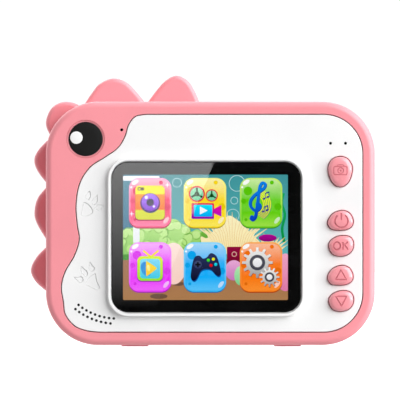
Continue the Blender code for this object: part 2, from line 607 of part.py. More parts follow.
def sockets():
    """USB socket with its flap, and the memory card in its socket, in the right-hand wall."""
    socket = box("usb_socket", (41.6, 48.9), (-9.3, -6.1), (USB_Z - 4.5, USB_Z + 4.5), "steel", 0.5)
    mouth = box("usb_mouth", (43.0, 50.0), (-8.9, -6.5), (USB_Z - 4.0, USB_Z + 4.0))
    boolean(socket, [mouth], "DIFFERENCE")
    hinge = (BODY_RIGHT - 0.3, USB_Y, USB_Z - 5.9)
    flap = extrude("usb_flap", [centred_rect(USB_Y, USB_Z, FLAP_W, FLAP_H, FLAP_R)], BODY_RIGHT - FLAP_T,
                   BODY_RIGHT, "pink_rubber", "X", hinge)
    plug = box("flap_plug", (BODY_RIGHT - PLUG_END, BODY_RIGHT - FLAP_T + 0.1), (USB_Y - 1.2, USB_Y + 1.2),
               (USB_Z - 3.9, USB_Z + 3.9))
    boolean(flap, [plug], "UNION")
    smooth(flap)
    holder = box("card_socket", (34.2, 48.6), (-9.3, -7.0), (CARD_Z - 6.6, CARD_Z + 6.6), "steel")
    slot = box("card_channel", (34.9, 50.0), (CARD_Y - 0.7, CARD_Y + 0.7), (CARD_Z - 5.8, CARD_Z + 5.8))
    boolean(holder, [slot], "DIFFERENCE")
    card = [(35.7, CARD_Z - 4.9), (45.0, CARD_Z - 4.9), (46.0, CARD_Z - 5.5), (50.7, CARD_Z - 5.5),
            (50.7, CARD_Z + 5.5), (35.7, CARD_Z + 5.5)]
    extrude("memory_card", [card], CARD_Y - CARD_T / 2, CARD_Y + CARD_T / 2, "chip_black")


def speaker():
    frame = turned("speaker_frame", SPEAKER_X, SPEAKER_Z, [
        (6.2, -7.8), (SPEAKER_R, -10.9), (SPEAKER_R, -11.9), (8.3, -11.9), (5.2, -8.7), (5.0, -7.8)],
        "steel", 28, ring=True)
    smooth(frame)
    cone = turned("speaker_cone", SPEAKER_X, SPEAKER_Z, [
        (0, -10.0), (2.6, -10.0), (7.3, -11.3), (7.3, -11.7), (2.4, -10.4), (0, -10.6)], "paper_cone", 28)
    smooth(cone)
    smooth(cylinder("speaker_magnet", SPEAKER_X, SPEAKER_Z, -9.2, -6.4, 4.6, 24, "steel"))
    wire("speaker_lead", [(-26, -5.9, 17.0), (-23, -5.6, 18.0), (-19, -6.8, 18.5), (-15.5, -8.2, 17.0),
                          (-14.0, -8.8, 15.0)], LEAD_R, "red_lead")


# ---------------------------------------------------------------- camera optics

def optics():
    extrude("camera_board", [rounded_rect(LENS_X - 12, LENS_X + 12, LENS_Z - 12, LENS_Z + 24, 1.5, 3)],
            1.4, 2.4, "circuit_board")
    box("image_sensor", (LENS_X - 3.5, LENS_X + 3.5), (2.7, 3.6), (LENS_Z - 3.5, LENS_Z + 3.5), "glass")
    holder = turned("lens_holder", LENS_X, LENS_Z, [
        (7.4, 11.5), (7.4, 4.2), (9.5, 4.2), (9.5, 2.7), (6.0, 2.7), (6.0, 11.5)], "chip_black", 24, True)
    smooth(holder)
    barrel = turned("lens_barrel", LENS_X, LENS_Z, [
        (7.6, 14.6), (7.6, 11.8), (5.7, 11.8), (5.7, 5.0), (4.2, 5.0), (4.2, 12.2), (6.4, 12.2), (6.7, 14.6)],
        "chip_black", 28, True)
    smooth(barrel)
    element = turned("lens_front_element", LENS_X, LENS_Z, [
        (0, 14.7), (2.4, 14.5), (4.4, 14.0), (6.0, 13.2), (6.0, 12.5), (0, 12.5)], "glass", 28)
    smooth(element)
    ring = turned("lens_ring", LENS_X, LENS_Z, [
        (16.3, 18.4), (17.1, 18.1), (RING_R, 17.3), (RING_R, FRONT_FACE + FIT), (SPIGOT_R, FRONT_FACE + FIT),
        (SPIGOT_R, 9.5), (8.6, 9.5), (8.6, 15.4), (11.5, 15.4), (11.5, 17.2), (12.6, 18.2), (13.3, 18.4)],
        "white_plastic", 30, True)
    smooth(ring)
    window = turned("lens_window", LENS_X, LENS_Z, [
        (0, 16.9), (10.8, 16.9), (11.2, 16.5), (11.2, 15.7), (0, 15.7)], "clear_plastic", 28)
    smooth(window)
    box("flash_led", (LENS_X - 1.5, LENS_X + 1.5), (2.7, 3.8), (FLASH_Z - 1.5, FLASH_Z + 1.5), "led_white")
    pipe = turned("flash_light_pipe", LENS_X, FLASH_Z, [(0, 13.7), (1.8, 13.6), (2.2, 13.2), (2.2, 4.1), (0, 4.1)],
                  "clear_plastic", 16)
    smooth(pipe)
    ribbon = [(1.1, 30), (0.8, 30), (0.8, 26.6), (-0.2, 25.2), (-4.0, 24.0), (-8.6, 23.2), (-9.2, 22.0),
              (-9.2, 19.0), (-8.9, 19.0), (-8.9, 21.8), (-8.4, 22.9), (-3.9, 23.7), (0.0, 24.9), (1.1, 26.4)]
    extrude("camera_flex", [ribbon], 6.5, 12.5, "flex_orange", axis="X")


# ---------------------------------------------------------------- screws

def screw_mesh(head_radius, head_height, shank_radius, length):
    """A pan head screw with a cross recess; the head's underside is at y = 0, the shank runs to -Y."""
    bar_end, bar_half = head_radius * 0.6, 0.25
    bar_depth = (head_height * 0.5, head_height + PAST)
    body = turned("screw_blank", 0, 0, [
        (0, head_height), (head_radius * 0.7, head_height), (head_radius, head_height * 0.5), (head_radius, 0),
        (shank_radius, 0), (shank_radius, 0.8 - length), (0, -length)], "steel", 10)
    bars = [box("recess_long", (-bar_end, bar_end), bar_depth, (-bar_half, bar_half)),
            box("recess_cross", (-bar_half, bar_half), bar_depth, (-bar_end, bar_end))]
    boolean(body, bars, "DIFFERENCE")
    body = as_mesh(body, "steel")
    smooth(body)
    mesh = body.data.copy()
    for scrap in (body, *bars):
        bpy.data.objects.remove(scrap, do_unlink=True)
    return mesh


def screws():
    case_mesh = screw_mesh(1.75, 1.4, 0.95, 11.6)
    for spot, (x, z) in corner_spots().items():
        add_object("case_screw_" + spot, case_mesh, "steel", (x, COUNTERBORE_FLOOR + FIT, z))
    pcb_mesh = screw_mesh(1.8, 1.1, 0.75, 4.4)
    for number, (x, z) in enumerate(PCB_SCREWS, 1):
        add_object("pcb_screw_%d" % number, pcb_mesh, "steel", (x, PCB_FRONT + FIT, z))


pockets = foot_recesses()
rear_shell(pockets)
front_shell(pockets)
feet()
rear_panel()
eye()
screen()
for button_key in BUTTONS:
    button(button_key)
circuit_board()
sockets()
speaker()
optics()
screws()
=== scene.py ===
"""Kids digital camera: the visible surfaces, materials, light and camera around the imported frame.

Lengths are in millimetres and become metres where a mesh is made. Places are in the row frame: +X to
the right seen from the screen side, -Y the screen side, +Y the lens side, +Z up.
"""
import math

import bmesh
import bpy
from mathutils import Matrix, Vector
from mathutils.bvhtree import BVHTree


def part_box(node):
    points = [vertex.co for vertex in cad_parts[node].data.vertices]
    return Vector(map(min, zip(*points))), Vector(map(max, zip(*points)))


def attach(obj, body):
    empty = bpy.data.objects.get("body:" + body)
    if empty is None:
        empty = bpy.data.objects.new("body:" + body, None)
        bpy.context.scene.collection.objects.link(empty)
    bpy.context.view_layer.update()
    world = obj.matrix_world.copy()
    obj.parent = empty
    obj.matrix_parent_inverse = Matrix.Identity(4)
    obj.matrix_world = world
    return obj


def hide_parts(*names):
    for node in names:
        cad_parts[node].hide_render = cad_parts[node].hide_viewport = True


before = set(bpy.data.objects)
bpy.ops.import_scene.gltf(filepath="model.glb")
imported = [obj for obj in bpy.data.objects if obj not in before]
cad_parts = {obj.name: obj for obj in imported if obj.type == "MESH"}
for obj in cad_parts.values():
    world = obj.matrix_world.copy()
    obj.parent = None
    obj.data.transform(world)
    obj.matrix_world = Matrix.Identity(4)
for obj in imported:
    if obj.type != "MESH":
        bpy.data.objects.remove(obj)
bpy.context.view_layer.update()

MM = 0.001
HOUSING = "housing"
PURE_WHITE = (1.0, 1.0, 1.0)


def box_mm(node):
    """Lowest and highest corner of a CAD node in millimetres."""
    low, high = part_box(node)
    return low / MM, high / MM


def middle(node):
    """Centre of a CAD node as seen from the screen side: x and z."""
    low, high = box_mm(node)
    return (low.x + high.x) / 2, (low.z + high.z) / 2


REAR_LOW, REAR_HIGH = box_mm("rear_shell")
FRONT_LOW, FRONT_HIGH = box_mm("front_shell")
GLASS_LOW, GLASS_HIGH = box_mm("screen_glass")

REAR_FACE = REAR_LOW.y
FRONT_FACE = FRONT_HIGH.y
SEAM_REAR = REAR_HIGH.y
SEAM_FRONT = FRONT_LOW.y
CORNER_R = 15.5
WALL = 1.8
PANEL_T = 2.1
REAR_RIM_R, FRONT_RIM_R = 1.8, 5.0
PANEL_TOP, PANEL_RIGHT = REAR_HIGH.z - 3.92, REAR_HIGH.x - 3.67
PANEL_BOTTOM, PANEL_R = REAR_LOW.z + 3.96, 11.5
PANEL_EDGE = [(-16.5, 68.73), (-19.9, 68.1), (-21.9, 65.6), (-23.0, 62.1), (-25.2, 58.7), (-29.0, 56.0),
              (-33.4, 53.0), (-36.4, 48.2), (-37.45, 42.0), (-37.1, 36.3), (-36.5, 31.6), (-38.0, 26.8),
              (-40.6, 22.3), (-41.8, 17.8), (-41.2, 13.2), (-40.6, 9.5), (-37.9, 6.2), (-34.2, 4.75),
              (-30.5, 4.36)]
FINS = {
    "fin_top_left": [(-35.7, 71.2), (-32.9, 75.4), (-30.6, 78.1), (-26.6, 79.7), (-22.8, 78.6),
                     (-19.8, 75.7), (-16.2, 71.3)],
    "fin_top_right": [(-17.2, 71.3), (-13.8, 76.0), (-10.9, 79.1), (-7.75, 80.5), (-4.6, 79.1),
                      (-2.4, 75.9), (-0.5, 71.3)],
    "fin_corner": [(-35.4, 70.9), (-38.6, 72.5), (-41.9, 72.6), (-44.9, 70.9), (-46.5, 67.6),
                   (-46.4, 64.9), (-44.7, 61.7)],
    "fin_side_high": [(-45.2, 62.2), (-48.8, 58.5), (-50.1, 55.4), (-49.0, 51.9), (-45.2, 47.0)],
    "fin_side_middle": [(-45.2, 48.6), (-48.9, 44.4), (-50.05, 40.0), (-49.2, 36.2), (-45.2, 29.7)],
    "fin_side_low": [(-45.2, 30.6), (-49.2, 26.8), (-51.1, 22.7), (-49.6, 19.1), (-45.2, 15.3)],
}
FIN_REAR, FIN_T = -0.4, 8.6
CORNERS = ("top_left", "top_right", "bottom_left", "bottom_right")
BEZEL_W, BEZEL_H, BEZEL_R, BEZEL_RISE = 58.5, 47.0, 6.2, 1.5
BEZEL_FILLET, BEZEL_EDGE, BEZEL_SHIFT = 0.3, 0.22, 0.1
DISPLAY = (-23.6, 25.3, 13.8, 51.0)          # left, right, bottom, top of the lit area

EGG = [(0, 4.45), (2.25, 3.68), (3.5, 1.42), (3.2, -1.22), (2.08, -3.4), (0.2, -4.44), (-1.8, -3.68),
       (-3.12, -1.32), (-3.5, 1.42), (-2.36, 3.6)]
PEBBLE_UP = [(-3.73, -0.85), (-3.21, 0.85), (-1.7, 2.27), (0.57, 2.88), (2.65, 2.08), (3.69, 0.0),
             (3.21, -1.8), (1.51, -2.69), (-0.76, -2.83), (-2.74, -2.46)]
PEBBLE_DOWN = [(-3.59, 0.1), (-2.84, 1.7), (-1.04, 2.74), (1.13, 2.98), (2.93, 2.36), (3.64, 0.76),
               (3.31, -1.13), (1.89, -2.55), (-0.57, -3.02), (-2.65, -2.17)]
BUTTONS = {"photo": (40.8, 51.85, EGG), "power": (40.9, 37.4, PEBBLE_UP), "ok": (41.05, 29.85, PEBBLE_DOWN),
           "up": (40.85, 21.1, PEBBLE_UP), "down": (41.05, 13.5, PEBBLE_DOWN)}


# ---------------------------------------------------------------- outlines

def on_circle(cx, cz, radius, degrees):
    turn = math.radians(degrees)
    return cx + radius * math.cos(turn), cz + radius * math.sin(turn)


def arc(cx, cz, radius, start, end, steps):
    """Points of an arc in degrees, both ends included."""
    return [on_circle(cx, cz, radius, start + (end - start) * i / steps) for i in range(steps + 1)]


def circle(cx, cz, radius, steps):
    return arc(cx, cz, radius, 0, 360 - 360 / steps, steps - 1)


def ellipse(cx, cz, wide, high, tilt=0.0, steps=24):
    """An ellipse of half axes wide and high, tilted in degrees."""
    turn = math.radians(tilt)
    return [(cx + x * math.cos(turn) - z * math.sin(turn), cz + x * math.sin(turn) + z * math.cos(turn))
            for x, z in ((wide * c, high * s) for c, s in circle(0, 0, 1, steps))]


def rounded_rect(left, right, bottom, top, radius, steps):
    corners = [(right - radius, top - radius, 0), (left + radius, top - radius, 90),
               (left + radius, bottom + radius, 180), (right - radius, bottom + radius, 270)]
    return [p for cx, cz, a in corners for p in arc(cx, cz, radius, a, a + 90, steps)]


def curve_through(points, per_span, closed=False):
    """Catmull-Rom points through the given ones."""
    count = len(points)
    made = []
    for i in range(count if closed else count - 1):
        if closed:
            a, b, c, d = (points[(i + k) % count] for k in (-1, 0, 1, 2))
        else:
            a, b, c, d = (points[min(max(i + k, 0), count - 1)] for k in (-1, 0, 1, 2))
        for step in range(per_span):
            t = step / per_span
            made.append(tuple(
                0.5 * (2 * b[k] + (c[k] - a[k]) * t + (2 * a[k] - 5 * b[k] + 4 * c[k] - d[k]) * t * t
                       + (3 * b[k] - a[k] - 3 * c[k] + d[k]) * t ** 3) for k in (0, 1)))
    return made if closed else made + [points[-1]]


def outset(points, distance):
    """Move a closed anticlockwise outline outwards by distance."""
    made = []
    count = len(points)
    for i, (x, z) in enumerate(points):
        px, pz = points[i - 1]
        nx, nz = points[(i + 1) % count]
        before = math.atan2(z - pz, x - px)
        after = math.atan2(nz - z, nx - x)
        half_turn = math.remainder(after - before, math.tau) / 2
        across = before + half_turn - math.pi / 2
        reach = distance / max(math.cos(half_turn), 0.5)
        made.append((x + reach * math.cos(across), z + reach * math.sin(across)))
    return made


def anticlockwise(points):
    area = sum(points[i - 1][0] * z - x * points[i - 1][1] for i, (x, z) in enumerate(points))
    return points if area > 0 else points[::-1]


def free_loop(points):
    """A loop that can be asked for itself at any outset."""
    base = anticlockwise(points)
    return lambda out: outset(base, out)


def rect_loop(left, right, bottom, top, radius, steps):
    return lambda out: rounded_rect(left - out, right + out, bottom - out, top + out, radius + out, steps)


def round_loop(cx, cz, radius, steps):
    return lambda out: circle(cx, cz, radius + out, steps)


def quarter(steps):
    """Angles from 0 to a right angle."""
    return [math.pi / 2 * i / steps for i in range(steps + 1)]


def convex(radius, side, steps):
    """An edge rounding: side is -1 on an outer edge and 1 round a hole. Pairs are (outset, depth)."""
    return [(side * radius * (1 - math.sin(a)), radius * (1 - math.cos(a))) for a in quarter(steps)]


def both_edges(radius, thickness, steps):
    """A plate's outer wall with its near and its far edge rounded."""
    near = convex(radius, -1, steps)
    return near + [(out, thickness - depth) for out, depth in reversed(near)]


def body_loop():
    return rect_loop(REAR_LOW.x, REAR_HIGH.x, REAR_LOW.z, REAR_HIGH.z, CORNER_R, 20)


def panel_points():
    """The white panel's outline, anticlockwise from the start of its top right corner."""
    centre = PANEL_RIGHT - PANEL_R
    top = arc(centre, PANEL_TOP - PANEL_R, PANEL_R, 0, 90, 20)
    bottom = arc(centre, PANEL_BOTTOM + PANEL_R, PANEL_R, 270, 360, 20)
    return top + curve_through(PANEL_EDGE, 8) + bottom


def button_points(key):
    x, z, points = BUTTONS[key]
    return [(x + u, z + v) for u, v in curve_through(points, 6, closed=True)]


# ---------------------------------------------------------------- mesh building

# Turns for slabs, whose depth runs along Y: to run along +X, along -X and along +Z.
SIDEWAYS = Matrix(((0, 1, 0, 0), (1, 0, 0, 0), (0, 0, 1, 0), (0, 0, 0, 1)))
FLAP_TURN = Matrix(((0, -1, 0, 0), (1, 0, 0, 0), (0, 0, 1, 0), (0, 0, 0, 1)))
UPRIGHT = Matrix(((1, 0, 0, 0), (0, 0, 1, 0), (0, 1, 0, 0), (0, 0, 0, 1)))


def placed(name, data):
    """A new object in the scene."""
    obj = bpy.data.objects.new(name, data)
    bpy.context.scene.collection.objects.link(obj)
    return obj


def evaluated(obj):
    """The mesh that an object's modifiers or curve settings make."""
    bpy.context.view_layer.update()
    return bpy.data.meshes.new_from_object(obj.evaluated_get(bpy.context.evaluated_depsgraph_get()))


def finish_mesh(bm, name, materials, angle=40, turn=None):
    """Turn a bmesh built in millimetres into a smooth-shaded object."""
    bmesh.ops.recalc_face_normals(bm, faces=bm.faces)
    mesh = bpy.data.meshes.new(name)
    bm.to_mesh(mesh)
    bm.free()
    mesh.transform(Matrix.Diagonal((MM, MM, MM, 1)) @ (turn or Matrix.Identity(4)))
    if turn and turn.determinant() < 0:
        mesh.flip_normals()
    for material in materials:
        mesh.materials.append(material)
    obj = placed(name, mesh)
    shade(obj, angle)
    return obj


def shade(obj, angle=40):
    obj.data.shade_smooth()
    obj.data.set_sharp_from_angle(angle=math.radians(angle))


def even_shading(obj):
    """Give flat faces square to an axis their exact normal at every corner, beside smooth roundings too."""
    bm = bmesh.new()
    bm.from_mesh(obj.data)
    level = {}
    for vert in bm.verts:
        flat = [f for f in vert.link_faces if max(abs(c) for c in f.normal) > 0.99999]
        if flat and all(edge.smooth for edge in vert.link_edges):
            level[vert.index] = tuple(max(flat, key=lambda f: f.calc_area()).normal)
    bm.free()
    kept = (0.0, 0.0, 0.0)
    obj.data.normals_split_custom_set([level.get(corner.vertex_index, kept) for corner in obj.data.loops])


def fill_between(bm, loops):
    """Fill the flat area that the first loop of vertices bounds, less the others."""
    edges = []
    for loop in loops:
        for i, vert in enumerate(loop):
            pair = (loop[i - 1], vert)
            edges.append(bm.edges.get(pair) or bm.edges.new(pair))
    bmesh.ops.triangle_fill(bm, use_beauty=True, edges=edges, normal=(0, 1, 0))


def bridge(bm, rings):
    """Faces between each ring of vertices and the next."""
    for near, far in zip(rings, rings[1:]):
        for i in range(len(near)):
            bm.faces.new((near[i - 1], near[i], far[i], far[i - 1]))


def ring_wall(bm, loop, profile, level):
    """Faces along a loop through the profile's (outset, depth) pairs; returns the first and last ring."""
    rings = [[bm.verts.new((x, level(depth), z)) for x, z in loop(out)] for out, depth in profile]
    bridge(bm, rings)
    return rings[0], rings[-1]


def slab(name, face, inward, outer, materials, holes=(), blinds=(), turn=None, angle=40):
    """A plate seen from its flat face at y = face, depth counted along inward (1 or -1).

    outer, holes and blinds are (loop, profile); a blind one ends in a flat floor.
    """
    bm = bmesh.new()
    ends = [ring_wall(bm, loop, profile, lambda depth: face + inward * depth)
            for loop, profile in (outer, *holes)]
    fronts = [first for first, _ in ends]
    for loop, profile in blinds:
        first, last = ring_wall(bm, loop, profile, lambda depth: face + inward * depth)
        fronts.append(first)
        fill_between(bm, [last])
    fill_between(bm, fronts)
    fill_between(bm, [last for _, last in ends])
    return finish_mesh(bm, name, materials, angle, turn)


def turned(name, x, z, profile, materials, steps, closed=False, angle=35):
    """A turned solid about a line along Y; the profile is (radius, y) and starts and ends on the axis."""
    bm = bmesh.new()
    rings = [[bm.verts.new((u, y, v)) for u, v in (circle(x, z, radius, steps) if radius else [(x, z)])]
             for radius, y in profile]
    for near, far in zip(rings, rings[1:] + (rings[:1] if closed else [])):
        for i in range(steps):
            if len(near) == 1:
                bm.faces.new((near[0], far[i], far[i - 1]))
            elif len(far) == 1:
                bm.faces.new((near[i - 1], near[i], far[0]))
            else:
                bm.faces.new((near[i - 1], near[i], far[i], far[i - 1]))
    return finish_mesh(bm, name, materials, angle)


def rounded_profile(points, radius, steps=4):
    """Round the corners of an open (radius, y) profile."""
    made = [points[0]]
    for before, corner, after in zip(points, points[1:], points[2:]):
        to_before = Vector(before) - Vector(corner)
        to_after = Vector(after) - Vector(corner)
        reach = min(radius, to_before.length * 0.45, to_after.length * 0.45)
        start = Vector(corner) + to_before.normalized() * reach
        end = Vector(corner) + to_after.normalized() * reach
        for i in range(steps + 1):
            t = i / steps
            made.append(tuple((1 - t) ** 2 * start + 2 * t * (1 - t) * Vector(corner) + t * t * end))
    return made + [points[-1]]


def volume(mesh):
    bm = bmesh.new()
    bm.from_mesh(mesh)
    size = bm.calc_volume()
    bm.free()
    return size


def cut_away(obj, tools):
    """Cut each tool out of obj for good and remove it."""
    for tool in tools:
        modifier = obj.modifiers.new("cut", "BOOLEAN")
        modifier.operation = "DIFFERENCE"
        modifier.object = tool
        modifier.solver = "EXACT"
        modifier.material_mode = "TRANSFER" if tool.data.materials else "INDEX"
        cut = evaluated(obj)
        if not 0 < volume(cut) < volume(obj.data):
            raise RuntimeError("a cut of %s failed" % obj.name)
        obj.modifiers.clear()
        obj.data = cut
        bpy.data.objects.remove(tool, do_unlink=True)


def join(name, objects):
    """Make one object of several whose meshes are in place."""
    bm = bmesh.new()
    materials = []
    for obj in objects:
        start = len(bm.faces)
        bm.from_mesh(obj.data)
        bm.faces.ensure_lookup_table()
        slots = []
        for material in obj.data.materials:
            if material not in materials:
                materials.append(material)
            slots.append(materials.index(material))
        for face in bm.faces[start:]:
            face.material_index = slots[face.material_index]
    mesh = bpy.data.meshes.new(name)
    bm.to_mesh(mesh)
    bm.free()
    for material in materials:
        mesh.materials.append(material)
    for obj in objects:
        bpy.data.objects.remove(obj, do_unlink=True)
    return placed(name, mesh)


def stand_for(obj, body, slot, *nodes):
    """Attach the piece to the body it rides on and hide the CAD nodes it stands for; slot, its finish, is not
    used.
    """
    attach(obj, body)
    if nodes:
        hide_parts(*nodes)


def lathe(name, spot, profile, material, slot, *nodes, **options):
    """A turned piece of the housing, in its place."""
    stand_for(turned(name, *spot, profile, [material], **options), HOUSING, slot, *nodes)


def raised(y, section):
    """A turned section whose heights are counted from y."""
    return [(radius, y + rise) for radius, rise in section]


# ---------------------------------------------------------------- materials

EDGE_R = 0.25                                # how far from an edge the rubbing reaches


class Paint:
    """A Principled material under construction, with object coordinates to drive its detail."""

    def __init__(self, name):
        self.material = bpy.data.materials.new(name)
        self.material.use_nodes = True
        self.tree = self.material.node_tree
        self.shader = self.tree.nodes["Principled BSDF"]
        self.place = self.tree.nodes.new("ShaderNodeTexCoord").outputs["Object"]

    def node(self, kind, **settings):
        made = self.tree.nodes.new(kind)
        for key, value in settings.items():
            setattr(made, key, value)
        return made

    def link(self, output, target):
        self.tree.links.new(output, target)

    def set(self, **values):
        """Give each named socket of the shader a value or an output."""
        for key, value in values.items():
            socket = self.shader.inputs[key.replace("_", " ")]
            if isinstance(value, bpy.types.NodeSocket):
                self.link(value, socket)
            else:
                socket.default_value = value

    def noise(self, scale, detail=2.0, stretch=None):
        """Noise from 0 to 1 with features of about 1 / scale metres."""
        made = self.node("ShaderNodeTexNoise")
        made.inputs["Scale"].default_value = scale
        made.inputs["Detail"].default_value = detail
        place = self.place
        if stretch:
            mapping = self.node("ShaderNodeMapping")
            mapping.inputs["Scale"].default_value = stretch
            self.link(place, mapping.inputs["Vector"])
            place = mapping.outputs["Vector"]
        self.link(place, made.inputs["Vector"])
        return made.outputs["Fac"]

    def spread(self, value, low, high, from_low=0.3, from_high=0.7):
        made = self.node("ShaderNodeMapRange")
        made.inputs["From Min"].default_value = from_low
        made.inputs["From Max"].default_value = from_high
        made.inputs["To Min"].default_value = low
        made.inputs["To Max"].default_value = high
        self.link(value, made.inputs["Value"])
        return made.outputs["Result"]

    def cloud(self, scale, detail):
        """Noise spread out to reach both 0 and 1."""
        return self.spread(self.noise(scale, detail), 0.0, 1.0)

    def blend(self, factor, first, second):
        """Mix two colours, each given as a tuple or an output."""
        made = self.node("ShaderNodeMix", data_type="RGBA")
        if isinstance(factor, float):
            made.inputs["Factor"].default_value = factor
        else:
            self.link(factor, made.inputs["Factor"])
        for socket, colour in (("A", first), ("B", second)):
            target = next(s for s in made.inputs if s.name == socket and s.type == "RGBA")
            if isinstance(colour, tuple):
                target.default_value = (*colour, 1.0)
            else:
                self.link(colour, target)
        return next(s for s in made.outputs if s.type == "RGBA")

    def edges(self, strength):
        """The strength along edges, 0 elsewhere: how far a rounded normal turns from the true one."""
        rounded = self.node("ShaderNodeBevel", samples=4)
        rounded.inputs["Radius"].default_value = EDGE_R * MM
        alike = self.node("ShaderNodeVectorMath", operation="DOT_PRODUCT")
        self.link(rounded.outputs["Normal"], alike.inputs[0])
        self.link(self.node("ShaderNodeNewGeometry").outputs["Normal"], alike.inputs[1])
        return self.spread(alike.outputs["Value"], strength, 0.0, 0.80, 0.99)

    def bump(self, height, distance):
        made = self.node("ShaderNodeBump")
        made.inputs["Distance"].default_value = distance * MM
        self.link(height, made.inputs["Height"])
        self.set(Normal=made.outputs["Normal"])


def shifted(colour, factor):
    return tuple(min(1.0, channel * factor) for channel in colour)


def mixed(first, second, share):
    """A colour with a share of the second one in it."""
    return tuple((1 - share) * a + share * b for a, b in zip(first, second))


def moulded(name, colour, roughness, grain=0.012, wear=0.35, coat=0.0, specular=0.5):
    """Moulded plastic: faint flow marks in the colour, fine spark grain, paler rubbed edges."""
    paint = Paint(name)
    flow = paint.blend(paint.cloud(55.0, 3.0), shifted(colour, 0.975), shifted(colour, 1.02))
    specks = paint.spread(paint.noise(2600.0), 0.0, 1.0, 0.66, 0.74)
    speckled = paint.blend(specks, flow, shifted(colour, 0.93))
    worn = paint.blend(paint.edges(wear), speckled, mixed(colour, PURE_WHITE, 0.25))
    rough = paint.spread(paint.noise(900.0, 4.0), roughness - 0.05, roughness + 0.05)
    paint.bump(paint.noise(5200.0), grain)
    paint.set(Base_Color=worn, Roughness=rough, Coat_Weight=coat, Coat_Roughness=0.12,
              Specular_IOR_Level=specular)
    return paint.material


def rubber(name, colour):
    """A matt, slightly cloudy, fine-pored surface: rubber, wire insulation, paper or phosphor."""
    paint = Paint(name)
    paint.set(Base_Color=paint.blend(paint.cloud(140.0, 4.0), shifted(colour, 0.88), shifted(colour, 1.08)),
              Roughness=paint.spread(paint.noise(700.0), 0.62, 0.82), Sheen_Weight=0.15)
    paint.bump(paint.noise(3800.0, 3.0), 0.03)
    return paint.material


def polished(name, colour, roughness=0.06, specular=0.5):
    """A polished surface with a faint haze of wipe marks in its colour and roughness."""
    paint = Paint(name)
    haze = paint.noise(60.0, 5.0, (1.0, 1.0, 3.0))
    paint.set(Base_Color=paint.blend(paint.spread(haze, 0.0, 1.0), colour, shifted(colour, 1.6)),
              Roughness=paint.spread(haze, roughness, roughness + 0.05), Specular_IOR_Level=specular)
    paint.bump(paint.noise(400.0), 0.0015)
    return paint.material


def clear(name, tint, roughness=0.02):
    """Clear glass or plastic with faint smears."""
    paint = Paint(name)
    smear = paint.noise(80.0, 4.0, (1.0, 1.0, 2.2))
    paint.set(Base_Color=paint.blend(paint.spread(smear, 0.0, 1.0), tint, shifted(tint, 0.985)),
              Roughness=paint.spread(smear, roughness, roughness * 2), Transmission_Weight=1.0, IOR=1.47)
    return paint.material


def metal(name, colour, roughness=0.28):
    """Drawn or plated metal with fine streaks and dull spots."""
    paint = Paint(name)
    streaks = paint.noise(900.0, 4.0, (1.0, 1.0, 14.0))
    dull = paint.spread(paint.noise(220.0, 5.0), 0.0, 1.0, 0.45, 0.7)
    paint.set(Base_Color=paint.blend(dull, colour, shifted(colour, 0.72)),
              Roughness=paint.spread(streaks, roughness - 0.06, roughness + 0.14), Metallic=1.0)
    paint.bump(streaks, 0.004)
    return paint.material


def board(name):
    """Green solder mask over copper tracks on a square grid."""
    paint = Paint(name)
    tracks = paint.node("ShaderNodeTexBrick")
    tracks.inputs["Scale"].default_value = 420.0
    tracks.inputs["Mortar Size"].default_value = 0.06
    paint.link(paint.place, tracks.inputs["Vector"])
    for socket, colour in (("Color1", (0.012, 0.11, 0.04, 1)), ("Color2", (0.015, 0.13, 0.05, 1)),
                           ("Mortar", (0.03, 0.24, 0.09, 1))):
        tracks.inputs[socket].default_value = colour
    stain = paint.spread(paint.noise(180.0, 3.0), 0.0, 0.25)
    paint.set(Base_Color=paint.blend(stain, tracks.outputs["Color"], (0.01, 0.09, 0.035)),
              Roughness=paint.spread(paint.noise(1200.0), 0.32, 0.5))
    paint.bump(tracks.outputs["Fac"], 0.02)
    return paint.material


LIT = {}
DEEPENING = 0.06                             # how far a missing share of a channel is taken off again


def deepened(colour):
    """A colour with its weaker channels pulled down, to stand up to the haze on the glass."""
    return tuple(max(0.0, channel - DEEPENING * (1 - channel)) for channel in colour)


def lit(top, bottom, low, high):
    """A backlit colour running from bottom at z = low to top at z = high, with a faint cloud in it."""
    top, bottom = deepened(top), deepened(bottom)
    key = (top, bottom, low, high)
    if key not in LIT:
        paint = Paint("lit_%02d" % len(LIT))
        split = paint.node("ShaderNodeSeparateXYZ")
        paint.link(paint.place, split.inputs["Vector"])
        rise = paint.spread(split.outputs["Z"], 0.0, 1.0, low * MM, high * MM)
        cloudy = paint.blend(paint.cloud(420.0, 3.0), shifted(bottom, 0.8), shifted(top, 1.25))
        colour = paint.blend(0.06, paint.blend(rise, bottom, top), cloudy)
        paint.set(Emission_Color=colour, Emission_Strength=1.0, Roughness=0.35, Specular_IOR_Level=0.1,
                  Base_Color=paint.blend(0.96, colour, (0.0, 0.0, 0.0)))
        LIT[key] = paint.material
    return LIT[key]


PINK = moulded("pink_plastic", (0.965, 0.320, 0.364), 0.42)
PINK_CAP = moulded("pink_button_plastic", (0.97, 0.345, 0.386), 0.24, grain=0.006, wear=0.2, coat=0.6)
WHITE = moulded("white_plastic", (0.95, 0.95, 0.95), 0.34, grain=0.008, wear=0.2)
BLACK_GLOSS = polished("black_gloss", (0.011, 0.010, 0.010))
EYE_BLACK = moulded("eye_black", (0.006, 0.006, 0.006), 0.5, grain=0.004, wear=0.0, specular=0.25)
# Darker pink on the walls of the symbols sunk into the buttons: painted shade in the grooves.
GLYPH_GROOVE_SHADE = moulded("symbol_groove_shade", (0.74, 0.215, 0.255), 0.5, grain=0.01, wear=0.0)
# Black print behind the glass edge; the same black also goes on the microphone and the status LEDs as painted
# shade in their holes.
PRINT_AND_HOLE_SHADE = polished("black_print_and_hole_shade", (0.0035, 0.0035, 0.0038), 0.25, specular=0.05)
BLACK_MATT = moulded("black_matt_plastic", (0.016, 0.016, 0.018), 0.5, grain=0.02)
GLASS = clear("screen_glass", (1.0, 1.0, 1.0), 0.004)
LENS_GLASS = clear("lens_glass", (0.86, 0.84, 0.98))
CLEAR = clear("clear_plastic", (0.96, 0.97, 1.0), 0.05)
PINK_RUBBER = rubber("pink_rubber", (0.86, 0.27, 0.31))
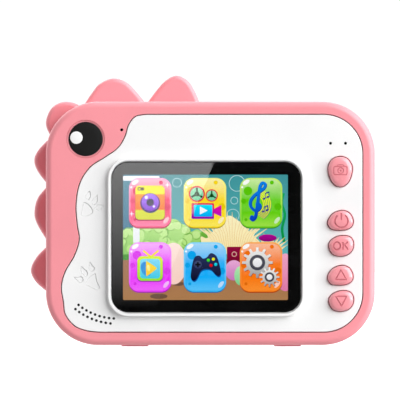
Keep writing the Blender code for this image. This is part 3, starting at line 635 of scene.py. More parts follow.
STEEL = metal("steel", (0.60, 0.60, 0.62))
GOLD = metal("gold_contacts", (0.85, 0.60, 0.22), 0.2)
BOARD = board("circuit_board")
CHIP = moulded("chip_compound", (0.016, 0.016, 0.017), 0.6, grain=0.03)
FLEX = polished("flex_film", (0.55, 0.22, 0.03), 0.3)
FOIL = metal("battery_foil", (0.62, 0.64, 0.68), 0.36)
LEAD = rubber("red_lead", (0.5, 0.02, 0.02))
CONE = rubber("paper_cone", (0.03, 0.03, 0.03))
PHOSPHOR = rubber("led_phosphor", (0.85, 0.78, 0.45))


# ---------------------------------------------------------------- shells

def rear_shell():
    """Pink rear shell: rounded rim, opening for the white panel, groove for the eye, side openings."""
    depth = SEAM_REAR - REAR_FACE
    inside = WALL + 0.2
    rim = convex(REAR_RIM_R, -1, 10) + [
        (0, depth - 0.22), (-0.06, depth - 0.06), (-0.22, depth), (-0.8, depth), (-0.8, depth - 1.2),
        (-WALL, depth - 1.2), (-WALL, inside)]
    opening = (free_loop(outset(panel_points(), 0.27)), convex(0.12, 1, 4) + [(0, inside)])
    groove = (round_loop(*middle("eye_disc"), 5.66, 96), [
        (0.03, 0), (0, 0.03), (0, 0.5), (-0.17, 0.5), (-0.17, 0.07), (-0.2, 0.05), (-0.55, 0.16),
        (-0.58, 0.6)])
    mic = (round_loop(*middle("microphone"), 0.46, 24), convex(0.05, 1, 2) + [(0, inside)])
    obj = slab("rear_shell_skin", REAR_FACE, 1, (body_loop(), rim), [PINK], [opening, mic], [groove])
    cut_away(obj, [side_cutter(*cutter) for cutter in (
        ("usb_flap", 0.3, 0.3, 1.6, 0.9), ("usb_socket", 0.0, 0.3, 1.55, 4.0),
        ("memory_card", 0.35, 0.35, 0.5, 4.0))])
    shade(obj)
    even_shading(obj)
    stand_for(obj, HOUSING, "pink_plastic", "rear_shell")


def side_cutter(node, gap_y, gap_z, radius, depth):
    """A rounded block into the right-hand wall round a node, with a gap along Y and along Z."""
    low, high = box_mm(node)
    loop = rect_loop(low.y - gap_y, high.y + gap_y, low.z - gap_z, high.z + gap_z, radius, 8)
    return slab("cutter", REAR_HIGH.x - depth, 1, (loop, [(0, 0), (0, depth + 2)]), [], turn=SIDEWAYS)


def front_shell():
    """Pink front shell with its lens and flash openings and the four screw wells."""
    depth = FRONT_FACE - SEAM_FRONT
    rim = convex(FRONT_RIM_R, -1, 14) + [
        (0, depth - 0.22), (-0.06, depth - 0.06), (-0.22, depth), (-0.88, depth), (-0.88, depth + 1.0),
        (-1.6, depth + 1.0), (-1.6, depth), (-WALL, depth), (-WALL, 5.0), (-3.2, 2.6), (-5.0, WALL)]
    lens_hole = (round_loop(*middle("lens_ring"), 14.7, 72), convex(0.2, 1, 3) + [(0, WALL)])
    flash_hole = (round_loop(*middle("flash_light_pipe"), 2.35, 40), convex(0.25, 1, 4) + [(0, WALL)])
    obj = slab("front_shell_skin", FRONT_FACE, -1, (body_loop(), rim), [PINK], [lens_hole, flash_hole])
    well = [(3.0, 11.4), (3.0, 0.6), (1.3, 0.6), (1.3, 1.05), (2.1, 1.05), (2.1, 11.6)]
    hole = [(0, 5.0), (2.1, 5.0), (2.1, FRONT_FACE + 2), (0, FRONT_FACE + 2)]
    for corner in CORNERS:
        spot = middle("case_screw_" + corner)
        lathe("screw_well_" + corner, spot, rounded_profile(well, 0.05, 1), PINK, "pink_plastic",
              steps=40, closed=True)
        cut_away(obj, [turned("cutter", *spot, hole, [], 32)])
    shade(obj)
    even_shading(obj)
    stand_for(obj, HOUSING, "pink_plastic", "front_shell")


FIN_ROOT = 3.0                               # how far the fins reach into the body, out of sight


def rooted(crest):
    """A fin's outline with its root carried on towards the middle of the body."""
    root = (Vector(crest[0]) + Vector(crest[-1])) / 2
    inwards = (Vector(middle("rear_shell")) - root).normalized() * FIN_ROOT
    if abs(crest[0][0] - crest[-1][0]) < 1.0:
        inwards = Vector((FIN_ROOT, 0.0))
    elif abs(crest[0][1] - crest[-1][1]) < 1.0:
        inwards = Vector((0.0, -FIN_ROOT))
    return curve_through(crest, 10) + [tuple(Vector(end) + inwards) for end in (crest[-1], crest[0])]


def fins():
    """The crest: six rounded fins rooted in the front shell."""
    walls = both_edges(1.3, FIN_T, 8)
    for name, crest in FINS.items():
        fin = slab(name, FIN_REAR, 1, (free_loop(rooted(crest)), walls), [PINK], angle=55)
        even_shading(fin)
        stand_for(fin, HOUSING, "pink_plastic")


# ---------------------------------------------------------------- white panel

BUTTON_GAP = 0.22
GRILLE_X, GRILLE_Z, SOUND_HOLE_R = -25.5, 26.2, 0.4
GRILLE_ARCS = ((17.9, -129.2, -92.7), (19.45, -129.0, -95.4))    # radius, first and last angle
FOOTPRINTS = [
    [(-35.3, 42.8), (-34.1, 42.45), (-33.1, 41.4), (-32.5, 40.2), (-32.75, 39.4), (-34.2, 38.65),
     (-35.2, 38.5), (-36.1, 38.9), (-36.0, 40.2), (-35.6, 41.7)],
    [(-33.5, 46.15), (-33.15, 45.2), (-33.2, 44.4), (-33.85, 43.35), (-34.7, 44.1), (-34.7, 44.8),
     (-34.2, 45.6)],
    [(-31.2, 45.1), (-31.1, 44.0), (-31.15, 43.1), (-32.25, 41.8), (-32.9, 43.05), (-32.4, 43.95),
     (-31.7, 44.5)],
    [(-29.3, 41.85), (-30.4, 42.15), (-31.1, 42.2), (-31.5, 41.7), (-31.9, 41.0), (-30.6, 40.25),
     (-29.7, 41.1)],
    [(-31.7, 21.6), (-31.35, 19.6), (-30.5, 17.5), (-30.8, 17.0), (-31.6, 16.85), (-32.9, 17.4),
     (-34.3, 18.1), (-34.55, 18.9), (-34.2, 19.8), (-33.4, 20.8), (-32.55, 21.35)],
    [(-33.4, 25.2), (-32.7, 24.1), (-31.9, 23.2), (-32.85, 22.2), (-33.8, 23.0), (-33.75, 24.2)],
    [(-36.1, 23.8), (-35.0, 23.05), (-34.3, 22.35), (-34.05, 21.4), (-34.6, 20.7), (-35.6, 21.4),
     (-36.1, 22.3)],
    [(-38.2, 20.5), (-37.0, 20.6), (-36.1, 20.85), (-35.5, 20.3), (-35.35, 19.5), (-36.35, 18.85),
     (-37.25, 19.5)],
]


def rear_panel():
    """White panel: raised bezel, button and indicator openings, grille and two sunk footprints."""
    x, z = middle("screen_glass")
    x += BEZEL_SHIFT
    bezel_loop = rect_loop(x - BEZEL_W / 2, x + BEZEL_W / 2, z - BEZEL_H / 2, z + BEZEL_H / 2, BEZEL_R, 14)
    root = [(BEZEL_FILLET * (1 - math.sin(a)), -BEZEL_FILLET * (1 - math.cos(a))) for a in quarter(5)]
    crown = [(-BEZEL_EDGE * (1 - math.cos(a)), -BEZEL_RISE + BEZEL_EDGE * (1 - math.sin(a)))
             for a in quarter(5)]
    inner = [(-0.72, -BEZEL_RISE), (-0.79, -BEZEL_RISE + 0.03), (-0.82, -BEZEL_RISE + 0.1), (-0.82, 0.3),
             (-3.25, 0.3), (-3.25, PANEL_T)]
    holes = [(bezel_loop, root + crown + inner)]
    for key in BUTTONS:
        loop = free_loop(outset(anticlockwise(button_points(key)), BUTTON_GAP))
        holes.append((loop, convex(0.3, 1, 5) + [(0, PANEL_T)]))
    for number in (1, 2):
        loop = round_loop(*middle("status_led_%d" % number), 0.43, 24)
        holes.append((loop, convex(0.04, 1, 2) + [(0, PANEL_T)]))
    for radius, start, end in GRILLE_ARCS:
        for x, z in arc(GRILLE_X, GRILLE_Z, radius, start, end, 8):
            holes.append((round_loop(x, z, SOUND_HOLE_R, 16), convex(0.07, 1, 2) + [(0, PANEL_T)]))
    sunk = [(0.03, 0), (0, 0.03), (-0.01, 0.34), (-0.13, 0.34), (-0.2, 0.12)]
    blinds = [(free_loop(curve_through(points, 6, closed=True)), sunk) for points in FOOTPRINTS]
    rim = convex(0.2, -1, 4) + [(0, PANEL_T)]
    obj = slab("rear_panel_skin", REAR_FACE, 1, (free_loop(panel_points()), rim), [WHITE], holes, blinds)
    even_shading(obj)
    stand_for(obj, HOUSING, "white_plastic", "rear_panel")


def eye():
    """Black disc with a small white disc let into it."""
    top = REAR_FACE - 0.12
    disc = [(0, 1.6), (5.02, 1.6), (5.02, 0.05), (3.0, -0.01), (0, -0.02)]
    lathe("eye_disc_skin", middle("eye_disc"), rounded_profile(raised(top, disc), 0.12), EYE_BLACK,
          "black_gloss", "eye_disc", steps=96)
    glint = [(0, 0.5), (1.85, 0.5), (1.85, -0.14), (0, -0.16)]
    lathe("eye_glint_skin", middle("eye_glint"), rounded_profile(raised(top, glint), 0.06), WHITE,
          "white_plastic", "eye_glint", steps=64)


# ---------------------------------------------------------------- buttons

def stroke(points, radius, surface, closed):
    """A round groove cutter that follows points over the surface of a cap."""
    curve = bpy.data.curves.new("stroke", "CURVE")
    curve.dimensions = "3D"
    curve.bevel_depth = radius * MM
    curve.bevel_resolution = 3
    curve.use_fill_caps = True
    spline = curve.splines.new("POLY")
    spline.points.add(len(points) - 1)
    spline.use_cyclic_u = closed
    for point, (x, z) in zip(spline.points, points):
        hit = surface.ray_cast(Vector((x, -30, z)) * MM, Vector((0, 1, 0)))[0]
        point.co = (hit.x, hit.y, hit.z, 1)
    # The groove walls take this darker pink from the cutter: painted shade in the groove.
    curve.materials.append(GLYPH_GROOVE_SHADE)
    obj = placed("stroke", curve)
    mesh = evaluated(obj)
    bpy.data.objects.remove(obj, do_unlink=True)
    bm = bmesh.new()
    bm.from_mesh(mesh)
    bmesh.ops.remove_doubles(bm, verts=bm.verts, dist=1e-7)
    bmesh.ops.recalc_face_normals(bm, faces=bm.faces)
    bm.to_mesh(mesh)
    bm.free()
    return placed("stroke", mesh)


def dense(points, closed=False):
    """Points along straight edges, close enough to follow a curved surface."""
    per_edge = 5
    ends = points + points[:1] if closed else points
    made = [tuple(a[k] + (b[k] - a[k]) * i / per_edge for k in (0, 1))
            for a, b in zip(ends, ends[1:]) for i in range(per_edge)]
    return made if closed else made + [points[-1]]


CAP_DOME, CAP_EDGE, CAP_SHOULDER = 0.14, 1.25, 0.42    # the top's rise, the rounding's height and share


def glyph(key):
    """Strokes of a button's symbol round its centre: (points, closed, radius)."""
    if key == "photo":
        body = rounded_rect(-1.95, 2.0, -0.9, 1.55, 0.4, 4)
        hump = [(-0.95, 1.6), (-0.75, 1.95), (-0.5, 2.03), (0.1, 2.05), (0.7, 2.03), (0.95, 1.95),
                (1.15, 1.6)]
        return [(body, True, 0.17), (hump, False, 0.17), (circle(0.1, 0.33, 0.84, 24), True, 0.2),
                (circle(0.1, 0.33, 0.2, 12), True, 0.15)]
    if key == "power":
        return [(arc(0.2, -0.15, 1.95, 125, 415, 36), False, 0.27),
                (dense([(0.2, 0.2), (0.2, 2.2)]), False, 0.27)]
    if key == "ok":
        ring = ellipse(-1.25, 0, 0.98, 1.12, steps=28)
        return [(ring, True, 0.27), (dense([(0.5, -1.15), (0.5, 1.15)]), False, 0.27),
                (dense([(2.0, 1.2), (0.55, -0.1)]), False, 0.25),
                (dense([(1.0, 0.3), (2.1, -1.15)]), False, 0.25)]
    if key == "up":
        return [(dense([(-1.5, -1.25), (1.75, -1.25), (0.12, 1.6)], closed=True), True, 0.24)]
    return [(dense([(-1.6, 1.35), (0.1, -1.5), (1.65, 1.35)], closed=True), True, 0.24)]


def button(key):
    """A domed cap with its symbol sunk into the top."""
    low, high = box_mm("button_" + key)
    x, z, _ = BUTTONS[key]
    points = anticlockwise(button_points(key))
    crown, side = low.y + CAP_DOME, low.y + CAP_EDGE
    rows = [(1.0, high.y - 0.65)] + [
        (1 - CAP_SHOULDER * (1 - math.cos(a)), side + (crown - side) * math.sin(a))
        for a in quarter(9)]
    rows += [(share * (1 - CAP_SHOULDER), low.y + CAP_DOME * share * share)
             for share in (0.78, 0.56, 0.34, 0.14)]
    bm = bmesh.new()
    loops = [(outset(points, 0.5), high.y), (outset(points, 0.5), high.y - 0.6)]
    loops += [([(x + (px - x) * share, z + (pz - z) * share) for px, pz in points], y) for share, y in rows]
    rings = [[bm.verts.new((px, y, pz)) for px, pz in loop] for loop, y in loops]
    bridge(bm, rings)
    for ring in (rings[0], rings[-1]):
        bm.faces.new(ring)
    cap = finish_mesh(bm, "button_%s_skin" % key, [PINK_CAP])
    surface = BVHTree.FromPolygons([v.co for v in cap.data.vertices],
                                   [p.vertices for p in cap.data.polygons])
    cut_away(cap, [stroke([(x + u, z + v) for u, v in line], radius, surface, closed)
                   for line, closed, radius in glyph(key)])
    shade(cap, 50)
    stand_for(cap, key + "_cap", "pink_plastic", "button_" + key)


# ---------------------------------------------------------------- screen

LEVEL_STEP = 0.022                           # from one level of the picture to the next
LEVEL_BACK = REAR_FACE + 0.40                # where level 0 lies
LEVEL_FILL = 0.8                             # share of the step that a plate's thickness takes


class Picture:
    """Flat lit shapes, each a thin plate on its own level in front of the ones before.

    Points, and the heights that a colour runs between, are counted from the picture's origin.
    """

    def __init__(self, name, x=0.0, z=0.0):
        self.name, self.x, self.z = name, x, z
        self.bm = bmesh.new()
        self.materials = []

    def lit(self, top, bottom, low, high):
        return lit(top, bottom, self.z + low, self.z + high)

    def row(self, points, y):
        return [self.bm.verts.new((self.x + x, y, self.z + z)) for x, z in points]

    def plate(self, points, level, material):
        """A filled outline."""
        near, far = LEVEL_BACK - LEVEL_STEP * level, LEVEL_BACK - LEVEL_STEP * (level - LEVEL_FILL)
        front, back = self.row(points, near), self.row(points, far)
        faces = [self.bm.faces.new(front), self.bm.faces.new(back[::-1])]
        for i in range(len(points)):
            faces.append(self.bm.faces.new((front[i], front[i - 1], back[i - 1], back[i])))
        self.paint(faces, material)

    def band(self, outside, inside, level, material, closed=True):
        """The strip between two outlines with the same number of points."""
        near, far = LEVEL_BACK - LEVEL_STEP * level, LEVEL_BACK - LEVEL_STEP * (level - LEVEL_FILL)
        rows = [self.row(line, y) for line, y in (
            (outside, near), (outside, far), (inside, far), (inside, near))]
        faces = []
        for i in range(0 if closed else 1, len(outside)):
            for a, b in zip(rows, rows[1:] + rows[:1]):
                faces.append(self.bm.faces.new((a[i - 1], a[i], b[i], b[i - 1])))
        if not closed:
            faces += [self.bm.faces.new([row[i] for row in rows]) for i in (0, -1)]
        self.paint(faces, material)

    def disc(self, cx, cz, radius, level, material, steps=20):
        self.plate(circle(cx, cz, radius, steps), level, material)

    def oval(self, cx, cz, wide, high, level, material, tilt=0.0, steps=24):
        self.plate(ellipse(cx, cz, wide, high, tilt, steps), level, material)

    def box(self, left, right, bottom, top, radius, level, material, steps=8):
        self.plate(rounded_rect(left, right, bottom, top, radius, steps), level, material)

    def ring(self, cx, cz, outer, inner, level, material, steps=20):
        self.band(circle(cx, cz, outer, steps), circle(cx, cz, inner, steps), level, material)

    def line(self, points, width, level, material):
        """An open stroke of even width with square ends."""
        left, right = [], []
        for i, (x, z) in enumerate(points):
            ax, az = points[max(i - 1, 0)]
            bx, bz = points[min(i + 1, len(points) - 1)]
            length = math.hypot(bx - ax, bz - az)
            nx, nz = -(bz - az) / length * width / 2, (bx - ax) / length * width / 2
            left.append((x + nx, z + nz))
            right.append((x - nx, z - nz))
        self.band(left, right, level, material, closed=False)

    def paint(self, faces, material):
        if material not in self.materials:
            self.materials.append(material)
        for face in faces:
            face.material_index = self.materials.index(material)

    def done(self, *nodes):
        self.bm.normal_update()
        bmesh.ops.triangulate(self.bm, faces=self.bm.faces)
        obj = finish_mesh(self.bm, self.name, self.materials)
        obj.data.shade_flat()
        stand_for(obj, HOUSING, "display", *nodes)


def moved(points, x, z):
    return [(x + u, z + v) for u, v in points]


def camera_symbol(p):
    p.box(-4.5, 4.4, -5.35, 4.85, 1.2, 10, p.lit((0.5, 0.1, 0.1), (0.45, 0.03, 0.1), -5, 5))
    p.box(-4.4, 4.3, -5.0, 5.1, 1.2, 11, p.lit((1.0, 0.92, 0.05), (0.66, 0.70, 0.02), -5, 5))
    p.box(-4.4, 4.3, -2.1, 2.5, 0.1, 12, p.lit((1.0, 0.36, 0.05), (0.93, 0.22, 0.04), -2, 3), 1)
    p.disc(0, -0.1, 2.95, 13, p.lit((0.10, 0.05, 0.22), (0.07, 0.04, 0.18), -3, 3), 40)
    p.disc(0, 0.15, 2.6, 14, p.lit((0.45, 0.22, 0.95), (0.23, 0.05, 0.62), -3, 2.5), 40)
    p.disc(0, 0.1, 1.1, 15, p.lit((0.05, 0.04, 0.09), (0.12, 0.10, 0.18), -1, 1), 28)
    white = p.lit(PURE_WHITE, (0.85, 0.80, 1.0), -3, 3)
    p.disc(-1.15, 1.6, 0.5, 16, white)
    p.disc(1.1, -1.1, 0.35, 16, white)
    grey = p.lit((0.12, 0.10, 0.08), (0.25, 0.22, 0.10), 3.4, 4.6)
    p.ring(-3.2, 4.1, 0.55, 0.28, 13, grey)
    p.oval(-2.35, 4.1, 0.6, 0.5, 14, grey, steps=20)
    sparkle = [(radius * math.sin(turn), radius * math.cos(turn)) for turn, radius in (
        (-math.pi * i / 4, 0.22 if i % 2 else 1.0) for i in range(8))]
    for u, v in ((5.1, 5.3), (-5.5, -3.3)):
        p.plate(moved(sparkle, u, v), 17, white)


def film_symbol(p):
    red = p.lit((0.85, 0.05, 0.10), (0.70, 0.02, 0.12), -5, 5)
    mint = p.lit((0.45, 0.88, 0.60), (0.18, 0.62, 0.36), 0.5, 5)
    green = p.lit((0.02, 0.12, 0.06), (0.02, 0.10, 0.05), 0, 5)
    for u, v, radius in ((-2.4, 2.6, 2.4), (2.0, 2.15, 1.85)):
        p.disc(u, v, radius, 11, red, 36)
        p.disc(u, v, radius * 0.82, 12, mint, 36)
        for turn in (90, 210, 330):
            p.line([(u, v), on_circle(u, v, radius * 0.78, turn)], radius * 0.22, 13, green)
        p.disc(u, v, radius * 0.3, 14, green)
    p.box(-4.0, 2.7, -4.8, -0.1, 0.3, 12, p.lit((0.80, 0.04, 0.14), (0.25, 0.02, 0.50), -4.8, -1), 3)
    p.plate([(2.5, -3.1), (4.9, -4.1), (4.9, -0.6), (2.5, -1.9)], 12,
            p.lit((0.85, 0.03, 0.35), (0.45, 0.02, 0.55), -4, -1))
    p.box(-3.3, 2.2, -4.1, -0.6, 0.2, 13, p.lit((0.05, 0.80, 1.0), (0.02, 0.42, 0.95), -4, -1), 3)
    p.plate([(-1.5, -1.1), (-1.5, -3.5), (0.8, -2.3)], 14, p.lit(PURE_WHITE, (0.9, 0.97, 1.0), -4, 0))


def music_symbol(p):
    blue = p.lit((0.04, 0.26, 0.80), (0.01, 0.10, 0.55), -5, 5)
    navy = p.lit((0.01, 0.06, 0.36), (0.01, 0.05, 0.30), -5, 5)
    gold = p.lit((0.98, 0.98, 0.10), (0.80, 0.86, 0.05), -5, 5)
    sweep = [(-1.5, -0.7), (-0.8, -0.2), (-0.3, -1.1), (-0.9, -2.1), (-2.1, -2.1), (-3.1, -1.0),
             (-3.1, 0.6), (-2.0, 2.2), (-0.4, 3.4), (0.9, 4.5), (1.2, 5.5), (0.4, 5.9), (-0.3, 5.0),
             (-0.7, 3.0), (-1.0, 0.5), (-1.4, -2.5), (-1.8, -4.3), (-2.6, -5.0), (-3.2, -4.4)]
    path = curve_through(sweep, 8)
    for i in range(5):
        edge = arc(-2.2, -0.5, 2.9 + 0.52 * i, -72 + 4 * i, 64 - 3 * i, 18)
        p.line(moved(edge, 0.12, -0.16), 0.24, 10.5, navy)
        p.line(edge, 0.3, 11, gold)
    p.line(moved(path, 0.14, -0.16), 0.86, 12, navy)
    p.line(path, 0.86, 13, blue)
    p.disc(-2.7, -4.3, 0.62, 14, blue)
    for u, v, tall in ((0.9, 1.2, 1.6), (2.0, 1.7, 1.6), (0.7, -2.6, 1.4), (1.7, -2.2, 1.4)):
        p.oval(u, v, 0.42, 0.3, 13, navy, 20, 16)
        p.line([(u + 0.36, v), (u + 0.36, v + tall)], 0.2, 14, navy)
    for u, v in ((1.25, 2.75), (1.05, -1.25)):
        p.line([(u, v), (u + 1.1, v + 0.45)], 0.36, 14.5, navy)


def television_symbol(p):
    lime = p.lit((0.80, 0.95, 0.05), (0.30, 0.75, 0.05), -4, 4)
    yellow = p.lit((1.0, 0.85, 0.05), (1.0, 0.60, 0.02), -3, 5)
    p.box(-3.9, 3.85, -4.45, 2.8, 1.4, 10, p.lit((0.40, 0.02, 0.45), (0.35, 0.02, 0.40), -4, 3))
    for u in (-2.1, 2.5):
        p.line([(0.2, 3.0), (u, 4.9)], 0.55, 11, yellow)
    p.box(-3.8, 3.7, -4.1, 3.2, 1.4, 12, lime)
    p.box(-3.0, 2.95, -3.4, 2.4, 0.9, 13, p.lit((0.25, 0.72, 0.95), (0.02, 0.60, 0.80), -3.4, 2.4))
    p.oval(-1.2, -0.6, 1.5, 2.2, 14, p.lit((0.02, 0.30, 0.75), (0.02, 0.35, 0.75), -3, 2), 20)
    play = [(-1.2, 1.5), (-0.8, 1.6), (1.7, -0.1), (1.7, -0.7), (-0.7, -2.5), (-1.2, -2.3)]
    p.plate(curve_through(play, 5, closed=True), 15, yellow)
    p.oval(-0.5, -0.3, 0.45, 1.0, 16, p.lit((1.0, 0.95, 0.45), (1.0, 0.80, 0.1), -2, 1), 10)


def games_symbol(p):
    shape = curve_through([
        (-4.2, -3.2), (-4.0, -0.6), (-3.4, 2.2), (-2.7, 3.2), (-1.5, 3.3), (-0.6, 2.5), (0.6, 2.9),
        (1.5, 4.0), (2.6, 3.9), (3.6, 2.9), (4.4, 0.2), (4.7, -1.7), (4.2, -2.7), (3.2, -2.3), (1.9, -0.9),
        (0.3, -0.6), (-1.2, -1.2), (-2.3, -3.3), (-3.3, -4.1)], 4, closed=True)
    p.plate(moved(shape, 0.12, -0.35), 10, p.lit((0.02, 0.16, 0.45), (0.01, 0.12, 0.40), -4, 4))
    p.plate(shape, 11, p.lit((0.075, 0.085, 0.16), (0.030, 0.032, 0.07), -4, 4))
    p.disc(-2.1, 0.7, 1.15, 12, p.lit((0.12, 0.14, 0.24), (0.07, 0.08, 0.15), -1, 2), 28)
    pad = p.lit((0.01, 0.012, 0.03), (0.02, 0.022, 0.05), -1, 2)
    p.line([(-2.9, 0.7), (-1.3, 0.7)], 0.5, 13, pad)
    p.line([(-2.1, -0.1), (-2.1, 1.5)], 0.5, 14, pad)
    for u, v, colour in ((1.0, 2.0, (0.10, 0.75, 0.08)), (2.5, 2.3, (0.95, 0.85, 0.05)),
                         (1.8, 0.45, (0.90, 0.03, 0.05)), (3.2, 0.75, (0.05, 0.70, 0.85))):
        p.disc(u, v, 0.47, 12, p.lit(shifted(colour, 1.2), shifted(colour, 0.7), v - 0.5, v + 0.5))


def gear(cx, cz, outer, root):
    """Outline of a gear wheel with blunt tapered teeth."""
    teeth = 12
    flanks = ((-0.24, root), (-0.15, outer), (0.15, outer), (0.24, root))
    return [on_circle(cx, cz, radius, 360 * (tooth + share) / teeth)
            for tooth in range(teeth) for share, radius in flanks]


def settings_symbol(p):
    shadow = p.lit((0.40, 0.10, 0.03), (0.35, 0.08, 0.02), -5, 5)
    dark = p.lit((0.13, 0.13, 0.15), (0.10, 0.10, 0.12), -5, 5)
    for u, v, outer, root, level in ((-1.1, 1.3, 4.55, 3.4, 10), (2.5, -3.0, 2.95, 2.1, 14)):
        p.plate(gear(u + 0.1, v - 0.15, outer, root), level, shadow)
        p.plate(gear(u, v, outer, root), level + 1,
                p.lit((0.95, 0.95, 0.93), (0.36, 0.35, 0.35), v - outer, v + outer))
        p.ring(u, v, root * 0.68, root * 0.42, level + 2, dark, 40)
        p.disc(u, v, root * 0.38, level + 2, p.lit(PURE_WHITE, (0.75, 0.75, 0.78), v - 1.5, v + 1.5), 28)


TILE_W, TILE_H = 12.6, 14.7
TILES = [                                    # symbol, place, colours at the top and bottom
    ("camera", camera_symbol, -15.55, 42.65, (1.0, 0.46, 0.70), (0.93, 0.08, 0.20)),
    ("film", film_symbol, 0.70, 42.65, (1.0, 0.95, 0.30), (1.0, 0.74, 0.03)),
    ("music", music_symbol, 17.35, 42.65, (0.62, 0.90, 0.20), (0.17, 0.66, 0.03)),
    ("television", television_symbol, -15.55, 23.60, (0.92, 0.30, 1.0), (0.83, 0.02, 0.97)),
    ("games", games_symbol, 0.70, 23.60, (0.28, 0.72, 1.0), (0.02, 0.46, 0.98)),
    ("settings", settings_symbol, 17.35, 23.60, (1.0, 0.42, 0.13), (0.98, 0.23, 0.03)),
]


def tile(key, symbol, x, z, top, bottom):
    """A rounded glossy tile with bubbles and glints, and its symbol on it."""
    p = Picture("screen_tile_" + key, x, z)
    wide, high = TILE_W / 2, TILE_H / 2
    p.box(-wide, wide, -high - 0.32, high - 0.32, 3.0, 5,
          p.lit(shifted(bottom, 0.55), shifted(bottom, 0.45), -high, high), 10)
    p.box(-wide, wide, -high, high, 3.0, 6, p.lit(top, bottom, -high - 2, high), 10)
    p.box(0.5 - wide, wide - 0.5, 0.5 - high, high - 0.4, 2.6, 7,
          p.lit(mixed(PURE_WHITE, top, 0.62), bottom, 1.0, high + 1.5), 10)
    p.box(0.9 - wide, wide - 0.9, 0.45 - high, -2.6, 1.6, 8,
          p.lit(bottom, mixed(bottom, top, 0.55), -high, -3.0))
    deep = p.lit(shifted(bottom, 0.92), shifted(bottom, 0.80), -high, high)
    for u, v, radius in ((-3.9, 3.5, 1.3), (3.2, 6.0, 0.6), (5.0, -1.2, 1.05), (-5.2, 0.5, 0.75),
                         (-4.5, -5.0, 0.45)):
        p.disc(u, v, radius, 9, deep, 24)
    shine = p.lit(PURE_WHITE, mixed(PURE_WHITE, top, 0.4), -high, high)
    p.oval(-4.45, 6.1, 1.15, 0.6, 10, shine, 32)
    p.disc(-5.6, 4.6, 0.32, 10, shine, 16)
    p.oval(4.75, -5.2, 1.2, 0.55, 10,
           p.lit(mixed(PURE_WHITE, top, 0.5), mixed(PURE_WHITE, bottom, 0.5), -high, high), 50)
    symbol(p)
    p.done()


def bush(cx, cz, wide, high, lumps, seed):
    """A closed lumpy outline, like a clipped bush, held inside the display."""
    points = []
    for i in range(lumps * 8):
        turn = math.tau * i / (lumps * 8)
        swell = 1 + 0.10 * abs(math.sin(turn * lumps / 2 + seed)) + 0.05 * math.sin(3 * turn + seed)
        points.append((cx + wide * swell * math.cos(turn), cz + high * swell * math.sin(turn)))
    return inside(points)


def inside(points, margin=0.0):
    """Points held inside the display, and a margin away from its left edge."""
    left, right, bottom, top = DISPLAY
    return [(min(max(x, left + margin), right), min(max(z, bottom), top)) for x, z in points]


def hedge(p):
    """Four bushes with pale clumps and dark curls on them, and two dark bushes in front."""
    leaf = lit((0.50, 0.80, 0.26), (0.16, 0.50, 0.10), 24, 36)
    leaf_pale = lit((0.68, 0.90, 0.42), (0.42, 0.76, 0.20), 27, 38)
    leaf_dark = lit((0.26, 0.56, 0.12), (0.05, 0.28, 0.05), 24, 37)
    bushes = ((-21.5, 29.0, 3.6, 6.0), (-15.0, 30.0, 5.4, 6.4), (-8.0, 30.2, 5.2, 6.8),
              (-2.0, 28.5, 4.2, 5.5))
    for i, (u, v, wide, high) in enumerate(bushes):
        p.plate(bush(u, v, wide, high, 7, i), 1 + 0.3 * i, leaf)
        for j in range(7):
            turn = 2.4 * j + i
            x, z = u + 0.68 * wide * math.cos(turn), v + high * (0.42 + 0.42 * math.sin(turn))
            p.plate(bush(x, z, 1.25, 1.05, 5, j), 2.1, leaf_pale)
            p.line(inside(arc(x, z, 1.3, 190 + 30 * j, 330 + 30 * j, 8), 0.2), 0.2, 2.3, leaf_dark)
    for u, v, wide, high in ((1.2, 31.0, 2.0, 3.6), (-22.5, 26.0, 3.4, 1.3)):
        p.plate(bush(u, v, wide, high, 5, 2), 2.0, leaf_dark)


def sheaf(p):
    """A heap of straw and two fans of blades growing out of it."""
    straw = lit((1.0, 0.92, 0.60), (0.97, 0.80, 0.42), 26, 40)
    straw_dark = lit((0.90, 0.66, 0.30), (0.82, 0.55, 0.20), 26, 42)
    heap = [(0.5, 27.5), (-0.6, 32.4), (1.4, 32.2), (3.4, 34.6), (5.8, 37.4), (8.0, 38.8), (10.2, 37.6),
            (12.4, 35.8), (14.6, 33.2), (17.0, 31.0), (19.0, 27.5)]
    p.plate(curve_through(heap, 6), 2.5, straw)
    for root_x, count, tall, fan in ((9.0, 19, 13.0, 44), (20.0, 11, 6.0, 62)):
        for i in range(count):
            lean = math.radians(fan * (2 * i / (count - 1) - 1))
            reach = tall * (1 - 0.22 * abs(math.sin(2.4 * i)))
            x, z = root_x + (i - count / 2) * 0.45, 28.0
            tip = (x + reach * math.sin(lean), z + reach * math.cos(lean))
            u, v = x + 0.5 * reach * math.sin(lean * 0.6), z + 0.55 * reach * math.cos(lean)
            blade = [(x - 0.75, z), (u - 0.55, v), tip, (u + 0.55, v), (x + 0.75, z)]
            p.plate(inside(blade), 2.6 + 0.02 * i, straw)
            p.line(inside([(x, z), (u, v), tip]), 0.12, 3.2, straw_dark)


